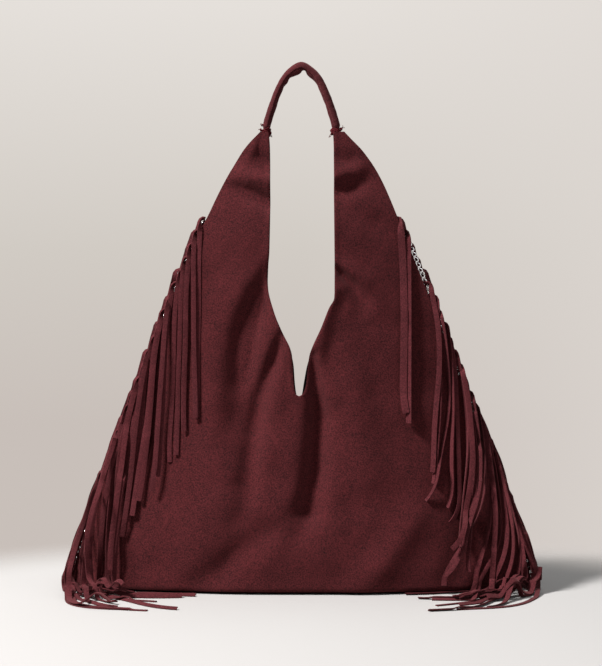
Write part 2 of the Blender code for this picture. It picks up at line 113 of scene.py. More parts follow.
def mask_ramp(tree, factor, low, high):
    """A ramp from black at low to white at high, which works as a mask."""
    return colour_ramp(tree, factor, ((low, (0.0, 0.0, 0.0, 1.0)), (high, (1.0, 1.0, 1.0, 1.0))))


MIX_COLOURS = {"data_type": "RGBA"}
LARGER = {"operation": "MAXIMUM"}


# %% [markdown]
# ## Light, background and floor
# Soft studio light: a key lamp high on the left in front, a weak one on the right, one above the back,
# and an even world that fills the shadows. What the camera sees behind the bag is a grey gradient, kept
# apart from the light on the bag by the Light Path node. The floor is a pale disc that fades into it.

# %% World
WORLD_LIGHT = 0.20
BACKDROP_LOW = "#C8BFB9"
BACKDROP_MIDDLE = "#D1CBC4"
BACKDROP_TOP = "#E5E0DB"
BACKDROP_RIGHT = "#DED8D3"

world = bpy.data.worlds.new("studio")
bpy.context.scene.world = world
world.use_nodes = True
tree = world.node_tree
tree.nodes.clear()
direction = add_node(tree, "SeparateXYZ", None, Vector=add_node(tree, "TexCoord").outputs["Generated"])
height = add_node(tree, "MapRange", None, Value=direction.outputs["Z"], From_Min=-0.09, From_Max=0.14)
upright = colour_ramp(
    tree, height.outputs["Result"],
    ((0.0, linear(BACKDROP_LOW)), (0.42, linear(BACKDROP_MIDDLE)), (1.0, linear(BACKDROP_TOP))),
)
rightwards = add_node(
    tree, "MapRange", None, Value=direction.outputs["X"], From_Min=0.0, From_Max=0.2, To_Max=0.75
)
backdrop = add_node(
    tree, "Mix", MIX_COLOURS, Factor=rightwards.outputs["Result"], _6=upright, _7=linear(BACKDROP_RIGHT)
)
seen = add_node(tree, "Background", None, Color=backdrop.outputs[2], Strength=1.0)
lighting = add_node(tree, "Background", None, Color=linear("#FFFDFA"), Strength=WORLD_LIGHT)
rays = add_node(tree, "LightPath")
shown = rays.outputs["Is Camera Ray"]
for kind in ("Is Glossy Ray", "Is Transmission Ray"):
    shown = add_node(tree, "Math", LARGER, _0=shown, _1=rays.outputs[kind]).outputs[0]
chosen = add_node(tree, "MixShader", None, _0=shown, _1=lighting.outputs[0], _2=seen.outputs[0])
add_node(tree, "OutputWorld", None, Surface=chosen.outputs[0])


# %% Lamps
def area_lamp(name, place, target, size, power, colour):
    """A square soft lamp that points at a target."""
    data = bpy.data.lights.new(name, "AREA")
    data.size = size
    data.energy = power
    data.color = linear(colour)[:3]
    lamp = bpy.data.objects.new(name, data)
    lamp.location = place
    lamp.rotation_euler = (Vector(target) - Vector(place)).to_track_quat("-Z", "Y").to_euler()
    bpy.context.scene.collection.objects.link(lamp)


MIDDLE = (0.0, 0.0, 0.22)
area_lamp("key_lamp", (-1.9, -1.05, 2.5), MIDDLE, 0.6, 180.0, "#FFFCFA")
area_lamp("fill_lamp", (2.0, -1.5, 1.0), MIDDLE, 1.4, 6.0, "#F6F9FF")
area_lamp("top_lamp", (0.3, 0.7, 2.4), MIDDLE, 1.2, 12.0, "#FFFFFF")

# %% Floor
FLOOR_CENTRE = (0.0, -0.30)
FLOOR_SOLID_RADIUS = 0.47
FLOOR_RADIUS = 0.68
# As the camera sees it, and as it throws light back
FLOOR_COLOUR = "#BEBDBC"
FLOOR_BOUNCE = "#96928F"

bpy.ops.mesh.primitive_circle_add(
    vertices=96, radius=FLOOR_RADIUS + 0.02, fill_type="NGON", location=(*FLOOR_CENTRE, 0.0)
)
floor = bpy.context.object
floor.name = "floor"
bpy.ops.object.transform_apply(location=True)
material = bpy.data.materials.new("matt_white_floor")
material.use_nodes = True
tree = material.node_tree
tree.nodes.clear()
place = add_node(tree, "TexCoord").outputs["Object"]
from_centre = add_node(tree, "VectorMath", {"operation": "DISTANCE"}, _0=place, _1=(*FLOOR_CENTRE, 0.0))
fade = add_node(
    tree, "MapRange", {"interpolation_type": "SMOOTHSTEP"},
    Value=from_centre.outputs["Value"], From_Min=FLOOR_SOLID_RADIUS, From_Max=FLOOR_RADIUS,
)
rays = add_node(tree, "LightPath")
paint_colour = add_node(
    tree, "Mix", MIX_COLOURS, Factor=rays.outputs["Is Camera Ray"],
    _6=linear(FLOOR_BOUNCE), _7=linear(FLOOR_COLOUR),
)
paint = add_node(tree, "BsdfDiffuse", None, Color=paint_colour.outputs[2])
clear = add_node(tree, "BsdfTransparent")
faded = add_node(
    tree, "MixShader", None, _0=fade.outputs["Result"], _1=paint.outputs[0], _2=clear.outputs[0]
)
add_node(tree, "OutputMaterial", None, Surface=faded.outputs[0])
floor.data.materials.append(material)

# %% [markdown]
# ## The form of the bag
# The bag is two equal panels. Each is a flat cut that bulges out of the plane of its side seams, and
# the bulge is drawn as a height over that plane. The outline and the bulge repeat the model's own
# values, so that the fine sheet lies on the plain one.

# %% Outline, mouth and bulge
MM = 0.001
GAP = 0.3 * MM
SUEDE = 1.4 * MM
FRINGE_SUEDE = 1.1 * MM
LINING = 0.6 * MM
BOARD = 1.5 * MM
BASE_HALF_WIDTH = 0.246
BAG_HEIGHT = 0.479
TIP_HALF_WIDTH = 0.041
SEAM_SHAPE = (
    (0.0, 1.0), (0.219, 0.829), (0.430, 0.641), (0.641, 0.454), (0.808, 0.293), (0.904, 0.185),
    (0.956, 0.102), (1.0, 0.0),
)
# The horns of a soft bag don't hang quite alike: outwards shift of each seam, (height, mm)
SEAM_SLACK_LEFT = (
    (0.0, 0.0), (0.36, 0.0), (0.40, -2.2), (0.44, -2.4), (0.46, -0.4), (0.47, 1.0), (0.479, 1.5),
)
SEAM_SLACK_RIGHT = (
    (0.0, 0.0), (0.36, 0.0), (0.40, 1.6), (0.43, 3.0), (0.45, 3.4), (0.468, 3.4), (0.479, 4.2),
)
MOUTH_HALF_WIDTH = 0.0335
BASE_HALF_DEPTH = 0.046
# Shares of the height, and of the depth at the base
BULGE_SHAPE = (
    (0.0, 1.0), (0.104, 0.93), (0.209, 0.78), (0.313, 0.63), (0.422, 0.50), (0.543, 0.40),
    (0.641, 0.35), (0.752, 0.30), (0.852, 0.24), (0.919, 0.15), (0.965, 0.04), (1.0, 0.0),
)
BASE_ROUNDING = 0.008
BASE_FLATNESS = 2.8
TOP_FLATNESS = 2.1
TOP_FLATNESS_HEIGHT = 0.250
FRINGE_TOP = BAG_HEIGHT - 0.092
FRINGE_BOTTOM = 0.022
FRINGE_EDGE = 0.008
TONGUE_DEPTH = 0.014
CHAIN_THICKNESS = 2.0 * MM
STRIP_IN = CHAIN_THICKNESS / 2 + GAP
STRIP_OUT = STRIP_IN + FRINGE_SUEDE
PANEL_IN = STRIP_OUT + GAP + LINING + GAP
CLOSED_SEAM = GAP / 2
TONGUE_ROOM = 2.4 * MM + GAP


def smooth_curve(points):
    """A function through the points that rises and falls only where they do (monotone cubic)."""
    xs, ys = (np.array(values, float) for values in zip(*points))
    steps = np.diff(xs)
    slopes = np.diff(ys) / steps
    before, after = slopes[:-1], slopes[1:]
    same_way = before * after > 0
    total = np.where(same_way, before + after, 1.0)
    tangents = np.concatenate(
        ([slopes[0]], np.where(same_way, 2 * before * after / total, 0.0), [slopes[-1]])
    )

    def value(x):
        x = np.clip(x, xs[0], xs[-1])
        i = np.clip(np.searchsorted(xs, x, side="right") - 1, 0, len(steps) - 1)
        t = (x - xs[i]) / steps[i]
        stay = (2 * t ** 3 - 3 * t ** 2 + 1) * ys[i] + (3 * t ** 2 - 2 * t ** 3) * ys[i + 1]
        turn = (t ** 3 - 2 * t ** 2 + t) * tangents[i] + (t ** 3 - t ** 2) * tangents[i + 1]
        return stay + steps[i] * turn

    return value


def smooth_step(x, low, high):
    """From 0 at low to 1 at high, level at both ends."""
    t = np.clip((x - low) / (high - low), 0.0, 1.0)
    return t * t * (3 - 2 * t)


seam_widening = smooth_curve(SEAM_SHAPE)
bulge_share = smooth_curve(BULGE_SHAPE)
seam_opens = FRINGE_TOP + FRINGE_EDGE / 2
tongue_end = BAG_HEIGHT - TONGUE_DEPTH - 2 * GAP
seam_gap = smooth_curve(
    (
        (0.0, PANEL_IN), (seam_opens, PANEL_IN), (seam_opens + 0.038, CLOSED_SEAM),
        (tongue_end - 0.016, CLOSED_SEAM), (tongue_end, TONGUE_ROOM), (BAG_HEIGHT, TONGUE_ROOM),
    )
)


def seam_half_width(z):
    """Half width of the bag at a height, at its side seams."""
    return TIP_HALF_WIDTH + (BASE_HALF_WIDTH - TIP_HALF_WIDTH) * seam_widening(z / BAG_HEIGHT)


SEAM_SLACK = {
    -1: smooth_curve([(z, x * MM) for z, x in SEAM_SLACK_LEFT]),
    1: smooth_curve([(z, x * MM) for z, x in SEAM_SLACK_RIGHT]),
}


def seam_place(z, hand):
    """Distance of a panel's side edge from the middle, on one hand."""
    return seam_half_width(z) + SEAM_SLACK[hand](z)


print("seam half widths", [round(float(seam_half_width(z)), 3) for z in (0.0, 0.1, 0.2, 0.3, 0.4)])

# %% [markdown]
# ## Folds
# Soft suede folds where it is pulled: below the V, where the two horns lean apart, and across each
# horn. A fold is a valley along a bent line, with a rounded section. The model has the main ones,
# straight and shallow. Here they bend and are as deep as their shading says, which takes a fine mesh.
# A negative depth is a ridge. The back has the same folds at a share of their depth.

# %% Folds and the panel's surface
# Each fold is a line of points: x and z, half width and depth, all in millimetres.
FOLDS = (
    ((-30, 340, 9, 4), (-44, 305, 13, 12), (-58, 262, 15, 16), (-62, 215, 17, 14), (-63, 168, 20, 9),
     (-66, 120, 20, 2)),
    ((-20, 266, 6, 4.5), (-30, 236, 8, 9), (-43, 200, 9, 10), (-52, 140, 11, 9), (-58, 80, 13, 4)),
    ((12, 246, 5, 5), (16, 212, 8, 9), (19, 180, 11, 13), (16, 128, 12, 16), (8, 84, 14, 15),
     (2, 66, 12, 4)),
    ((35, 312, 8, -3.5), (19, 255, 8, -4), (20, 230, 7, -1)),
    ((35, 338, 3, 5), (42, 331, 4, 7.5), (53, 320, 6, 7), (66, 303, 11, 5), (74, 285, 14, 1)),
    ((30, 346, 5, -1), (46, 338, 8, -3), (66, 322, 10, -3), (80, 300, 12, -1)),
    ((-76, 424, 6, 4), (-55, 414, 7, 8), (-34, 404, 8, 9)),
    ((-74, 438, 9, -4), (-54, 432, 9, -8), (-36, 428, 9, -6)),
    ((-46, 472, 6, -3), (-58, 452, 9, -5), (-70, 436, 10, -3)),
    ((-44, 476, 5, 2), (-37, 456, 8, 5), (-34, 440, 8, 3)),
    ((35, 415, 10, 5.5), (58, 424, 10, 5.5), (82, 436, 8, 3)),
    ((37, 432, 9, -4), (58, 439, 10, -6), (74, 450, 8, -3)),
    ((40, 476, 6, 3), (46, 456, 9, 6), (54, 441, 9, 3)),
    ((45, 400, 12, 3), (80, 384, 14, 4.5), (104, 366, 12, 1.5)),
    ((-110, 10, 14, 3), (-83, 26, 14, 6), (-42, 62, 14, 5.5), (-20, 72, 12, 1)),
    ((60, 8, 18, -3), (84, 31, 17, -7), (113, 66, 17, -6), (125, 90, 16, -2)),
    ((160, 8, 14, 2), (172, 40, 16, 5), (176, 80, 14, 1)),
    ((-100, 330, 18, 3), (-120, 250, 22, 4), (-130, 170, 24, 3)),
    ((50, 250, 18, -3), (60, 190, 20, -5), (70, 120, 22, -4), (72, 90, 20, -1)),
    ((-90, 150, 20, -1), (-84, 100, 20, -4), (-100, 60, 20, -2)),
)
BACK_FOLD_SHARE = 0.6
# A fold takes at most this share of the bulge, and fades to nothing at the seam by this exponent
FOLD_LIMIT = 0.70
FOLD_FADE = 4
# Slow unevenness of the whole panel: a wide and a narrow pattern, each the sum of crossed waves
DRAPE_HEIGHT = 0.8 * MM
DRAPE_SIZE = 0.060
RIPPLE_HEIGHT = 0.22 * MM
RIPPLE_SIZE = 0.021
DRAPE_SEEDS = {-1: 3, 1: 8}
WAVE_COUNT = 8
WAVE_TOTAL = 2.8


def fold_depth(x, z):
    """Sum of the folds at each point of the front panel."""
    total = np.zeros(np.broadcast(x, z).shape)
    for line in FOLDS:
        deepest = np.zeros(total.shape)
        for first, second in zip(line, line[1:]):
            x0, z0, width0, depth0 = (value * MM for value in first)
            x1, z1, width1, depth1 = (value * MM for value in second)
            dx, dz = x1 - x0, z1 - z0
            along = np.clip(((x - x0) * dx + (z - z0) * dz) / (dx * dx + dz * dz), 0.0, 1.0)
            distance = np.hypot(x - x0 - along * dx, z - z0 - along * dz)
            half_width = width0 + (width1 - width0) * along
            depth = (depth0 + (depth1 - depth0) * along) * np.exp(-((distance / half_width) ** 2))
            deepest = np.where(np.abs(depth) > np.abs(deepest), depth, deepest)
        total += deepest
    return total


def slow_waves(x, z, size, seed):
    """A smooth random field of about unit height: a few crossed waves near one size."""
    draw = np.random.default_rng(seed)
    total = 0.0
    for _ in range(WAVE_COUNT):
        heading = draw.uniform(0.0, math.pi)
        length = size * draw.uniform(0.8, 1.8)
        phase = draw.uniform(0.0, 2 * math.pi)
        along = x * math.cos(heading) + z * math.sin(heading)
        total = total + np.sin(2 * math.pi * along / length + phase)
    return total / WAVE_TOTAL


def bulge_at(x, z, side):
    """How far a panel stands out past its seam. side is -1 for the front, 1 for the back."""
    t = np.minimum(np.abs(x) / np.where(x < 0, seam_place(z, -1), seam_place(z, 1)), 1.0)
    share = np.minimum(z / TOP_FLATNESS_HEIGHT, 1.0)
    flatness = BASE_FLATNESS + (TOP_FLATNESS - BASE_FLATNESS) * share
    bulge = BASE_HALF_DEPTH * bulge_share(z / BAG_HEIGHT) * (1.0 - t ** flatness)
    folded = (1.0 if side < 0 else BACK_FOLD_SHARE) * fold_depth(x, z) * (1.0 - t ** FOLD_FADE)
    low = np.clip(BASE_ROUNDING - z, 0.0, BASE_ROUNDING)
    rounding = np.minimum(BASE_ROUNDING - np.sqrt(BASE_ROUNDING ** 2 - low ** 2), bulge / 2)
    return np.maximum(bulge - np.minimum(folded, bulge * FOLD_LIMIT) - rounding, 0.0)


def panel_surface(x, z, side):
    """Distance of a panel's outer face from the seam plane, with its slow unevenness."""
    t = np.minimum(np.abs(x) / seam_half_width(z), 1.0)
    fade = (1.0 - t ** FOLD_FADE) * smooth_step(z, 0.0, 0.03) * smooth_step(BAG_HEIGHT - z, 0.0, 0.05)
    seed = DRAPE_SEEDS[side]
    uneven = DRAPE_HEIGHT * slow_waves(x, z, DRAPE_SIZE, seed)
    uneven = uneven + RIPPLE_HEIGHT * slow_waves(x, z, RIPPLE_SIZE, seed + 1)
    return seam_gap(z) + SUEDE + bulge_at(x, z, side) + fade * uneven


LINING_REACH = (-0.010, 0.0, 0.010)
LINING_SHARE = 0.92
LINING_SLACK = 1.2 * MM


def lining_surface(x, z, side):
    """Distance of a lining's outer face from the seam plane: slack, and straight across the folds."""
    places = [(x + dx, np.maximum(z + dz, 0.0)) for dx in LINING_REACH for dz in LINING_REACH]
    nearby = [bulge_at(*place, side) for place in places]
    slack = LINING_SHARE * np.minimum.reduce(nearby) - LINING_SLACK
    return seam_gap(z) - GAP + np.maximum(slack, 0.0)


print("front bulge in the middle", [round(float(panel_surface(0.0, z, -1)), 4) for z in (0.0, 0.1, 0.2)])

# %% [markdown]
# ## Suede
# Suede is the flesh side of leather, sanded to a short nap. It has no shine, but the tips of the nap
# catch light at a grazing angle, which is what Principled's sheen does. Stroked one way the nap is
# lighter, the other way darker, in patches of two to six centimetres. Close up it is a fine speckle.
# Real fibres are 0.1 mm thick; the speckle is drawn at 1.35 mm, so that it shows from a step away.

# %% Suede materials
NAP_PATCH = 30 * MM
NAP_STROKE = 7 * MM
NAP_SPECKLE = 1.35 * MM
TONE_AND_PAINTED_SHADE_SHARE = 0.26


def new_material(name):
    """A material with the parts that each one here needs: its tree, shader and place on the object."""
    material = bpy.data.materials.new(name)
    material.use_nodes = True
    tree = material.node_tree
    place = add_node(tree, "TexCoord").outputs["Object"]
    return material, tree, tree.nodes["Principled BSDF"], place


def noise_at(tree, place, size, **settings):
    """A noise field whose grains are about one size across."""
    return add_node(tree, "TexNoise", None, Vector=place, Scale=1 / size, **settings).outputs["Fac"]


def suede(name, dark, light, patch_share, speckle_share, strip_tones_and_painted_shade=False):
    """Suede in two tones of one colour, for sheets that are seen from a step away."""
    material, tree, shader, place = new_material(name)
    patches = noise_at(tree, place, NAP_PATCH, Detail=3.0, Distortion=0.6)
    strokes = noise_at(tree, place, NAP_STROKE, Detail=3.0, Roughness=0.6)
    speckle = noise_at(tree, place, NAP_SPECKLE, Detail=2.0, Roughness=0.7)
    layers = (
        (0.45, mask_ramp(tree, strokes, 0.30, 0.70)),
        (speckle_share, mask_ramp(tree, speckle, 0.33, 0.70)),
    )
    nap = mask_ramp(tree, patches, 0.32, 0.68)
    for share, layer in layers:
        nap = add_node(tree, "Mix", MIX_COLOURS, _0=share, _6=nap, _7=layer).outputs[2]
    # Strips mix in an attribute: a random tone for each strip, around its row's painted light and shade
    if strip_tones_and_painted_shade:
        tone_and_painted_shade = add_node(tree, "Attribute", {"attribute_name": "tone_and_painted_shade"}).outputs["Fac"]
        nap = add_node(tree, "Mix", MIX_COLOURS, _0=TONE_AND_PAINTED_SHADE_SHARE, _6=nap, _7=tone_and_painted_shade).outputs[2]
    shade = add_node(
        tree, "MapRange", None, Value=nap, To_Min=0.5 - patch_share / 2, To_Max=0.5 + patch_share / 2
    ).outputs["Result"]
    colour = add_node(tree, "Mix", MIX_COLOURS, _0=shade, _6=linear(dark), _7=linear(light)).outputs[2]
    tree.links.new(colour, shader.inputs["Base Color"])
    shader.inputs["Roughness"].default_value = 0.92
    shader.inputs["Specular IOR Level"].default_value = 0.15
    shader.inputs["Sheen Weight"].default_value = 0.30
    shader.inputs["Sheen Roughness"].default_value = 0.45
    shader.inputs["Sheen Tint"].default_value = linear("#C98C8C")
    coarse = add_node(tree, "Bump", None, Height=strokes, Strength=0.25, Distance=0.8 * MM).outputs[0]
    bump = add_node(tree, "Bump", None, Height=speckle, Strength=0.55, Distance=0.35 * MM, Normal=coarse)
    tree.links.new(bump.outputs[0], shader.inputs["Normal"])
    return material


body_suede = suede("burgundy_suede", "#1A0609", "#622529", 0.95, 0.80)
# The strips' suede also takes each row's painted light and shade from the strips' attribute
fringe_leather = suede("burgundy_suede_strips", "#220A0D", "#6E3036", 0.95, 0.80, True)
handle_suede = suede("burgundy_suede_rolled", "#2B0F12", "#60292D", 0.9, 0.6)

# %% [markdown]
# ## Lining, board, thread and chain
# The lining is a plain woven cloth of nearly black blue. Its threads are 0.5 mm apart, and are drawn
# about 3 mm apart, since a finer weave doesn't show from a step away. The board is grey-brown pressed
# fibre. The thread is waxed polyester. The chain is steel with polished nickel.


# %% Other materials
def finish_surface(tree, shader, pattern, stops, strength, height):
    """Colour and bump from one pattern."""
    colours = colour_ramp(tree, pattern, [(place, linear(colour)) for place, colour in stops])
    tree.links.new(colours, shader.inputs["Base Color"])
    bump = add_node(tree, "Bump", None, Height=pattern, Strength=strength, Distance=height)
    tree.links.new(bump.outputs[0], shader.inputs["Normal"])


def woven_cloth(name, dark, light, spacing):
    """Plain weave: two crossed waves, each 2 pi times the spacing long."""
    material, tree, shader, place = new_material(name)
    waves = [
        add_node(
            tree, "TexWave", {"bands_direction": direction},
            Vector=place, Scale=1 / (20 * spacing), Distortion=0.3,
        ).outputs["Fac"]
        for direction in ("X", "Z")
    ]
    weave = add_node(tree, "Math", {"operation": "MULTIPLY"}, _0=waves[0], _1=waves[1]).outputs[0]
    finish_surface(tree, shader, weave, ((0.0, dark), (1.0, light)), 0.4, 0.2 * MM)
    shader.inputs["Roughness"].default_value = 0.8
    return material


def mottled(name, dark, light, size, roughness, metallic, bump_height):
    """A material whose colour wanders a little between two tones, with a fine grain."""
    material, tree, shader, place = new_material(name)
    grain = noise_at(tree, place, size, Detail=3.0, Roughness=0.6)
    finish_surface(tree, shader, grain, ((0.3, dark), (0.7, light)), 0.3, bump_height)
    shader.inputs["Roughness"].default_value = roughness
    shader.inputs["Metallic"].default_value = metallic
    return material


lining_cloth = woven_cloth("black_polyester_lining", "#0E1113", "#23292C", 0.5 * MM)
pressed_board = mottled("pressed_fibre_board", "#4A4038", "#635749", 1.5 * MM, 0.9, 0.0, 0.1 * MM)
waxed_thread = mottled("waxed_polyester_thread", "#33090E", "#6A252B", 0.6 * MM, 0.9, 0.0, 0.05 * MM)
waxed_thread.node_tree.nodes["Principled BSDF"].inputs["Specular IOR Level"].default_value = 0.1
polished_nickel = mottled("polished_nickel", "#CFD0D2", "#ECECEE", 4.0 * MM, 0.20, 1.0, 0.01 * MM)

# The base panel's suede is nearly black: painted shade for the dark line under the bag's bottom edge
painted_shade_base_suede = suede("burgundy_suede_underside_painted_shade", "#0E0506", "#241012", 0.9, 0.6)
for node, finish in (("base_panel", painted_shade_base_suede), ("base_board", pressed_board)):
    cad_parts[node].data.materials.clear()
    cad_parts[node].data.materials.append(finish)

# %% [markdown]
# ## Panels
# A panel is a sheet, so it is built as one: a grid from the V's edge to the side seam, in two halves
# that share a line below the V. The height field sets the outer face. A turned hem makes the edge of
# the V a little thicker and rounds it off. Slow noise adds the unevenness of a bag that is in use.


# %% Sheet builder
def finished_object(name, mesh, material, smooth_angle=50):
    """A mesh as a finished piece on the bag's one body."""
    mesh.materials.append(material)
    mesh.shade_smooth()
    mesh.set_sharp_from_angle(angle=math.radians(smooth_angle))
    thing = bpy.data.objects.new(name, mesh)
    bpy.context.scene.collection.objects.link(thing)
    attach(thing, "root")
    return thing


def mouth_edges(left, right):
    """The V's two edges as functions of the height, from points in millimetres (height, x)."""
    return {
        hand: smooth_curve([(z * MM, x * MM) for z, x in points])
        for hand, points in ((-1, left), (1, right))
    }


def closed_mesh(bm, name):
    """The finished mesh, with its faces turned outwards."""
    bmesh.ops.recalc_face_normals(bm, faces=bm.faces[:])
    mesh = bpy.data.meshes.new(name)
    bm.to_mesh(mesh)
    bm.free()
    return mesh


def sheet_mesh(name, side, heights, columns, mouth, inset, surface, thickness):
    """A closed sheet over the bag's outline: outer face, inner face and the walls between them."""
    start = heights[mouth["row"]]
    xs = []
    zs = []
    edges = []
    index = {}
    for row, z in enumerate(heights):
        open_here = row > mouth["row"]
        for hand in (-1, 1):
            seam = float(seam_place(z, hand))
            edge = float(mouth[hand](max(z, start))) + (hand * inset if open_here else 0.0)
            for column in range(columns + 1):
                if not open_here and column == 0 and hand > 0:
                    index[row, hand, 0] = index[row, -1, 0]
                    continue
                index[row, hand, column] = len(xs)
                share = (column / columns) ** 1.12
                xs.append(edge + (hand * seam - edge) * share)
                zs.append(z)
                edges.append(abs(xs[-1] - edge) if open_here or row == mouth["row"] else 1.0)
    xs, zs, edges = (np.array(values) for values in (xs, zs, edges))
    outer = surface(xs, zs, side, edges)
    count = len(xs)
    bm = bmesh.new()
    for distance in (outer, outer - thickness):
        for x, y, z in zip(xs, side * distance, zs):
            bm.verts.new((x, y, z))
    bm.verts.ensure_lookup_table()
    uses = {}
    for row in range(len(heights) - 1):
        for hand in (-1, 1):
            for column in range(columns):
                corners = ((row, column), (row, column + 1), (row + 1, column + 1), (row + 1, column))
                quad = [index[r, hand, c] for r, c in corners]
                bm.faces.new([bm.verts[i] for i in quad])
                bm.faces.new([bm.verts[i + count] for i in reversed(quad)])
                for a, b in zip(quad, quad[1:] + quad[:1]):
                    uses.setdefault((min(a, b), max(a, b)), []).append((a, b))
    for directions in uses.values():
        if len(directions) == 1:
            a, b = directions[0]
            bm.faces.new([bm.verts[i] for i in (b, a, a + count, b + count)])
    return closed_mesh(bm, name)


def heights_between(low, high, step):
    """Heights from low up to, but not including, high, about one step apart."""
    count = max(1, round((high - low) / step))
    return [low + (high - low) * i / count for i in range(count)]


# %% Front and back panel
# The V's edges as (height, x) in millimetres. The back panel hangs a little lower and more to the left,
# so that its lining shows at the V's lower right, as in any bag that isn't quite straight.
FRONT_MOUTH = mouth_edges(
    ((203.8, -2.1), (205.2, -4.6), (208.1, -6.3), (220.6, -7.9), (245.4, -9.3), (253.6, -11.4),
     (268.1, -18.7), (291.0, -28.1), (315.9, -34.3), (328.4, -34.8), (355.4, -32.8), (407.5, -31.9),
     (459.7, -32.3), (479.0, -33.5)),
    ((203.8, -2.1), (205.0, 0.6), (208.8, 3.3), (218.3, 5.7), (235.0, 7.2), (245.4, 8.7),
     (253.7, 11.4), (274.5, 20.8), (295.2, 29.1), (305.6, 34.5), (320.0, 35.0), (400.0, 34.4),
     (460.0, 34.2), (479.0, 33.5)),
)
BACK_MOUTH = mouth_edges(
    ((196.0, -1.5), (200.0, -4.5), (214.9, -6.6), (232.0, -7.8), (249.0, -11.6), (268.0, -20.0),
     (291.0, -29.2), (315.9, -35.2), (355.0, -34.0), (459.7, -33.2), (479.0, -33.5)),
    ((196.0, -1.5), (200.0, 0.6), (214.9, 3.2), (232.0, 6.4), (249.0, 12.2), (272.3, 22.4),
     (295.2, 31.0), (305.6, 35.6), (400.0, 35.4), (460.0, 34.6), (479.0, 33.5)),
)
FRONT_MOUTH_BOTTOM = 0.2038
BACK_MOUTH_BOTTOM = 0.196
# The panels end this far above the floor, so that the nearly black base panel shows under them as a
# painted shade line
FOOT_GAP = 3 * MM
PANEL_COLUMNS = 64
PANEL_STEP = 2.4 * MM
HEM_WIDTH = 7 * MM
HEM_RISE = 0.5 * MM
EDGE_RADIUS = 1.3 * MM


def suede_surface(x, z, side, from_edge):
    """The panel's face with its turned hem and rounded edge."""
    hem = HEM_RISE * (1.0 - smooth_step(from_edge, HEM_WIDTH - 5 * MM, HEM_WIDTH))
    near = np.clip(EDGE_RADIUS - from_edge, 0.0, EDGE_RADIUS)
    rounded = EDGE_RADIUS - np.sqrt(EDGE_RADIUS ** 2 - near ** 2)
    return panel_surface(x, z, side) + hem - 0.6 * rounded


mouths = {}
for side, word, edges, bottom in (
    (-1, "front", FRONT_MOUTH, FRONT_MOUTH_BOTTOM), (1, "back", BACK_MOUTH, BACK_MOUTH_BOTTOM)
):
    heights = heights_between(FOOT_GAP, BASE_ROUNDING, 1 * MM)
    heights += heights_between(BASE_ROUNDING, bottom, PANEL_STEP)
    mouths[side] = {**edges, "row": len(heights), "bottom": bottom}
    heights += heights_between(bottom, bottom + 0.020, 1 * MM)
    heights += heights_between(bottom + 0.020, BAG_HEIGHT, PANEL_STEP) + [BAG_HEIGHT]
    mesh = sheet_mesh(
        word + "_suede", side, heights, PANEL_COLUMNS, mouths[side], 0.0, suede_surface, SUEDE
    )
    finished_object(word + "_suede", mesh, body_suede)
    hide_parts(word + "_panel")
    print(word, "panel:", len(mesh.polygons), "faces")

# %% Linings
LINING_INSET = 1.2 * MM
LINING_LOW = SUEDE + GAP + BOARD + GAP
LINING_STEP = 6 * MM
for side, word in ((-1, "front"), (1, "back")):
    bottom = mouths[side]["bottom"]
    heights = heights_between(LINING_LOW, bottom - LINING_INSET, LINING_STEP)
    mouth = {**mouths[side], "row": len(heights)}
    heights += heights_between(bottom - LINING_INSET, bottom + 0.020, 2 * MM)
    heights += heights_between(bottom + 0.020, FRINGE_TOP, LINING_STEP) + [FRINGE_TOP]
    mesh = sheet_mesh(
        word + "_lining_cloth", side, heights, 40, mouth, LINING_INSET,
        lambda x, z, side, from_edge: lining_surface(x, z, side), LINING,
    )
    finished_object(word + "_lining_cloth", mesh, lining_cloth)
    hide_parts("lining_" + word)

# %% [markdown]
# ## Handle
# The handle is a strip of suede rolled into a tube and bent into an arch. Its inner side is too long
# for the bend, so it gathers into small wrinkles, and it buckles at the top. A tube is lofted along
# the model's route, and its rings are pushed in and out. The lap of the roll is a groove in front.

# %% Handle
HANDLE_RADIUS = {-1: 4.25 * MM, 1: 4.6 * MM}
HANDLE_SHAPE = (
    (0.0012, 0.0070), (0.0040, 0.0170), (0.0081, 0.0290), (0.0131, 0.0420), (0.0200, 0.0550),
    (0.0278, 0.0630),
)
HANDLE_RISE = 0.0675
HANDLE_LEAN = 0.26
TACK_LOW = 0.4804
TONGUE = (2.6 * MM, 2.4 * MM)
RING_VERTICES = 64
LAP_HEIGHT = 0.9 * MM
LAP_ANGLE = 0.56 * math.pi
LAP_WANDER = 0.22
LAP_WAVE = 0.014
LEFT_ARM_SHIFT = 0.6 * MM
# Where the handle buckles, along x: place, half width, height
KINK = (-0.002, 0.010, 0.9 * MM)
# Fine creases: height, and how many to the metre
CREASE_HEIGHT = 0.22 * MM
CREASE_SCALE = 260
# Small wrinkles of the inner side: distance from the apex along x, half width and depth
WRINKLES = (
    (0.0047, 0.0026, 0.0028), (-0.0060, 0.0062, -0.0017), (-0.0148, 0.0020, 0.0009),
    (-0.0185, 0.0020, -0.0004), (-0.0215, 0.0018, 0.0008), (-0.0262, 0.0022, 0.0006),
    (0.0120, 0.0030, -0.0008), (0.0195, 0.0024, 0.0006), (0.0290, 0.0020, 0.0005),
)


def handle_route(count):
    """Points along the handle, evenly spaced, from the left tongue over the apex to the right one."""
    foot = (TIP_HALF_WIDTH + MOUTH_HALF_WIDTH) / 2
    right = [(foot + HANDLE_LEAN * (BAG_HEIGHT - z), z) for z in (BAG_HEIGHT - TONGUE_DEPTH, TACK_LOW)]
    right += [(foot - inwards, BAG_HEIGHT + rise) for inwards, rise in HANDLE_SHAPE]
    points = [(-x, z) for x, z in right] + [(0.0, BAG_HEIGHT + HANDLE_RISE)] + right[::-1]
    lengths = np.concatenate(([0.0], np.cumsum(np.hypot(*np.diff(np.array(points), axis=0).T))))
    x_of = smooth_curve([(s, p[0]) for s, p in zip(lengths, points)])
    z_of = smooth_curve([(s, p[1]) for s, p in zip(lengths, points)])
    s = np.linspace(0.0, lengths[-1], count)
    return np.stack((x_of(s), z_of(s)), -1)


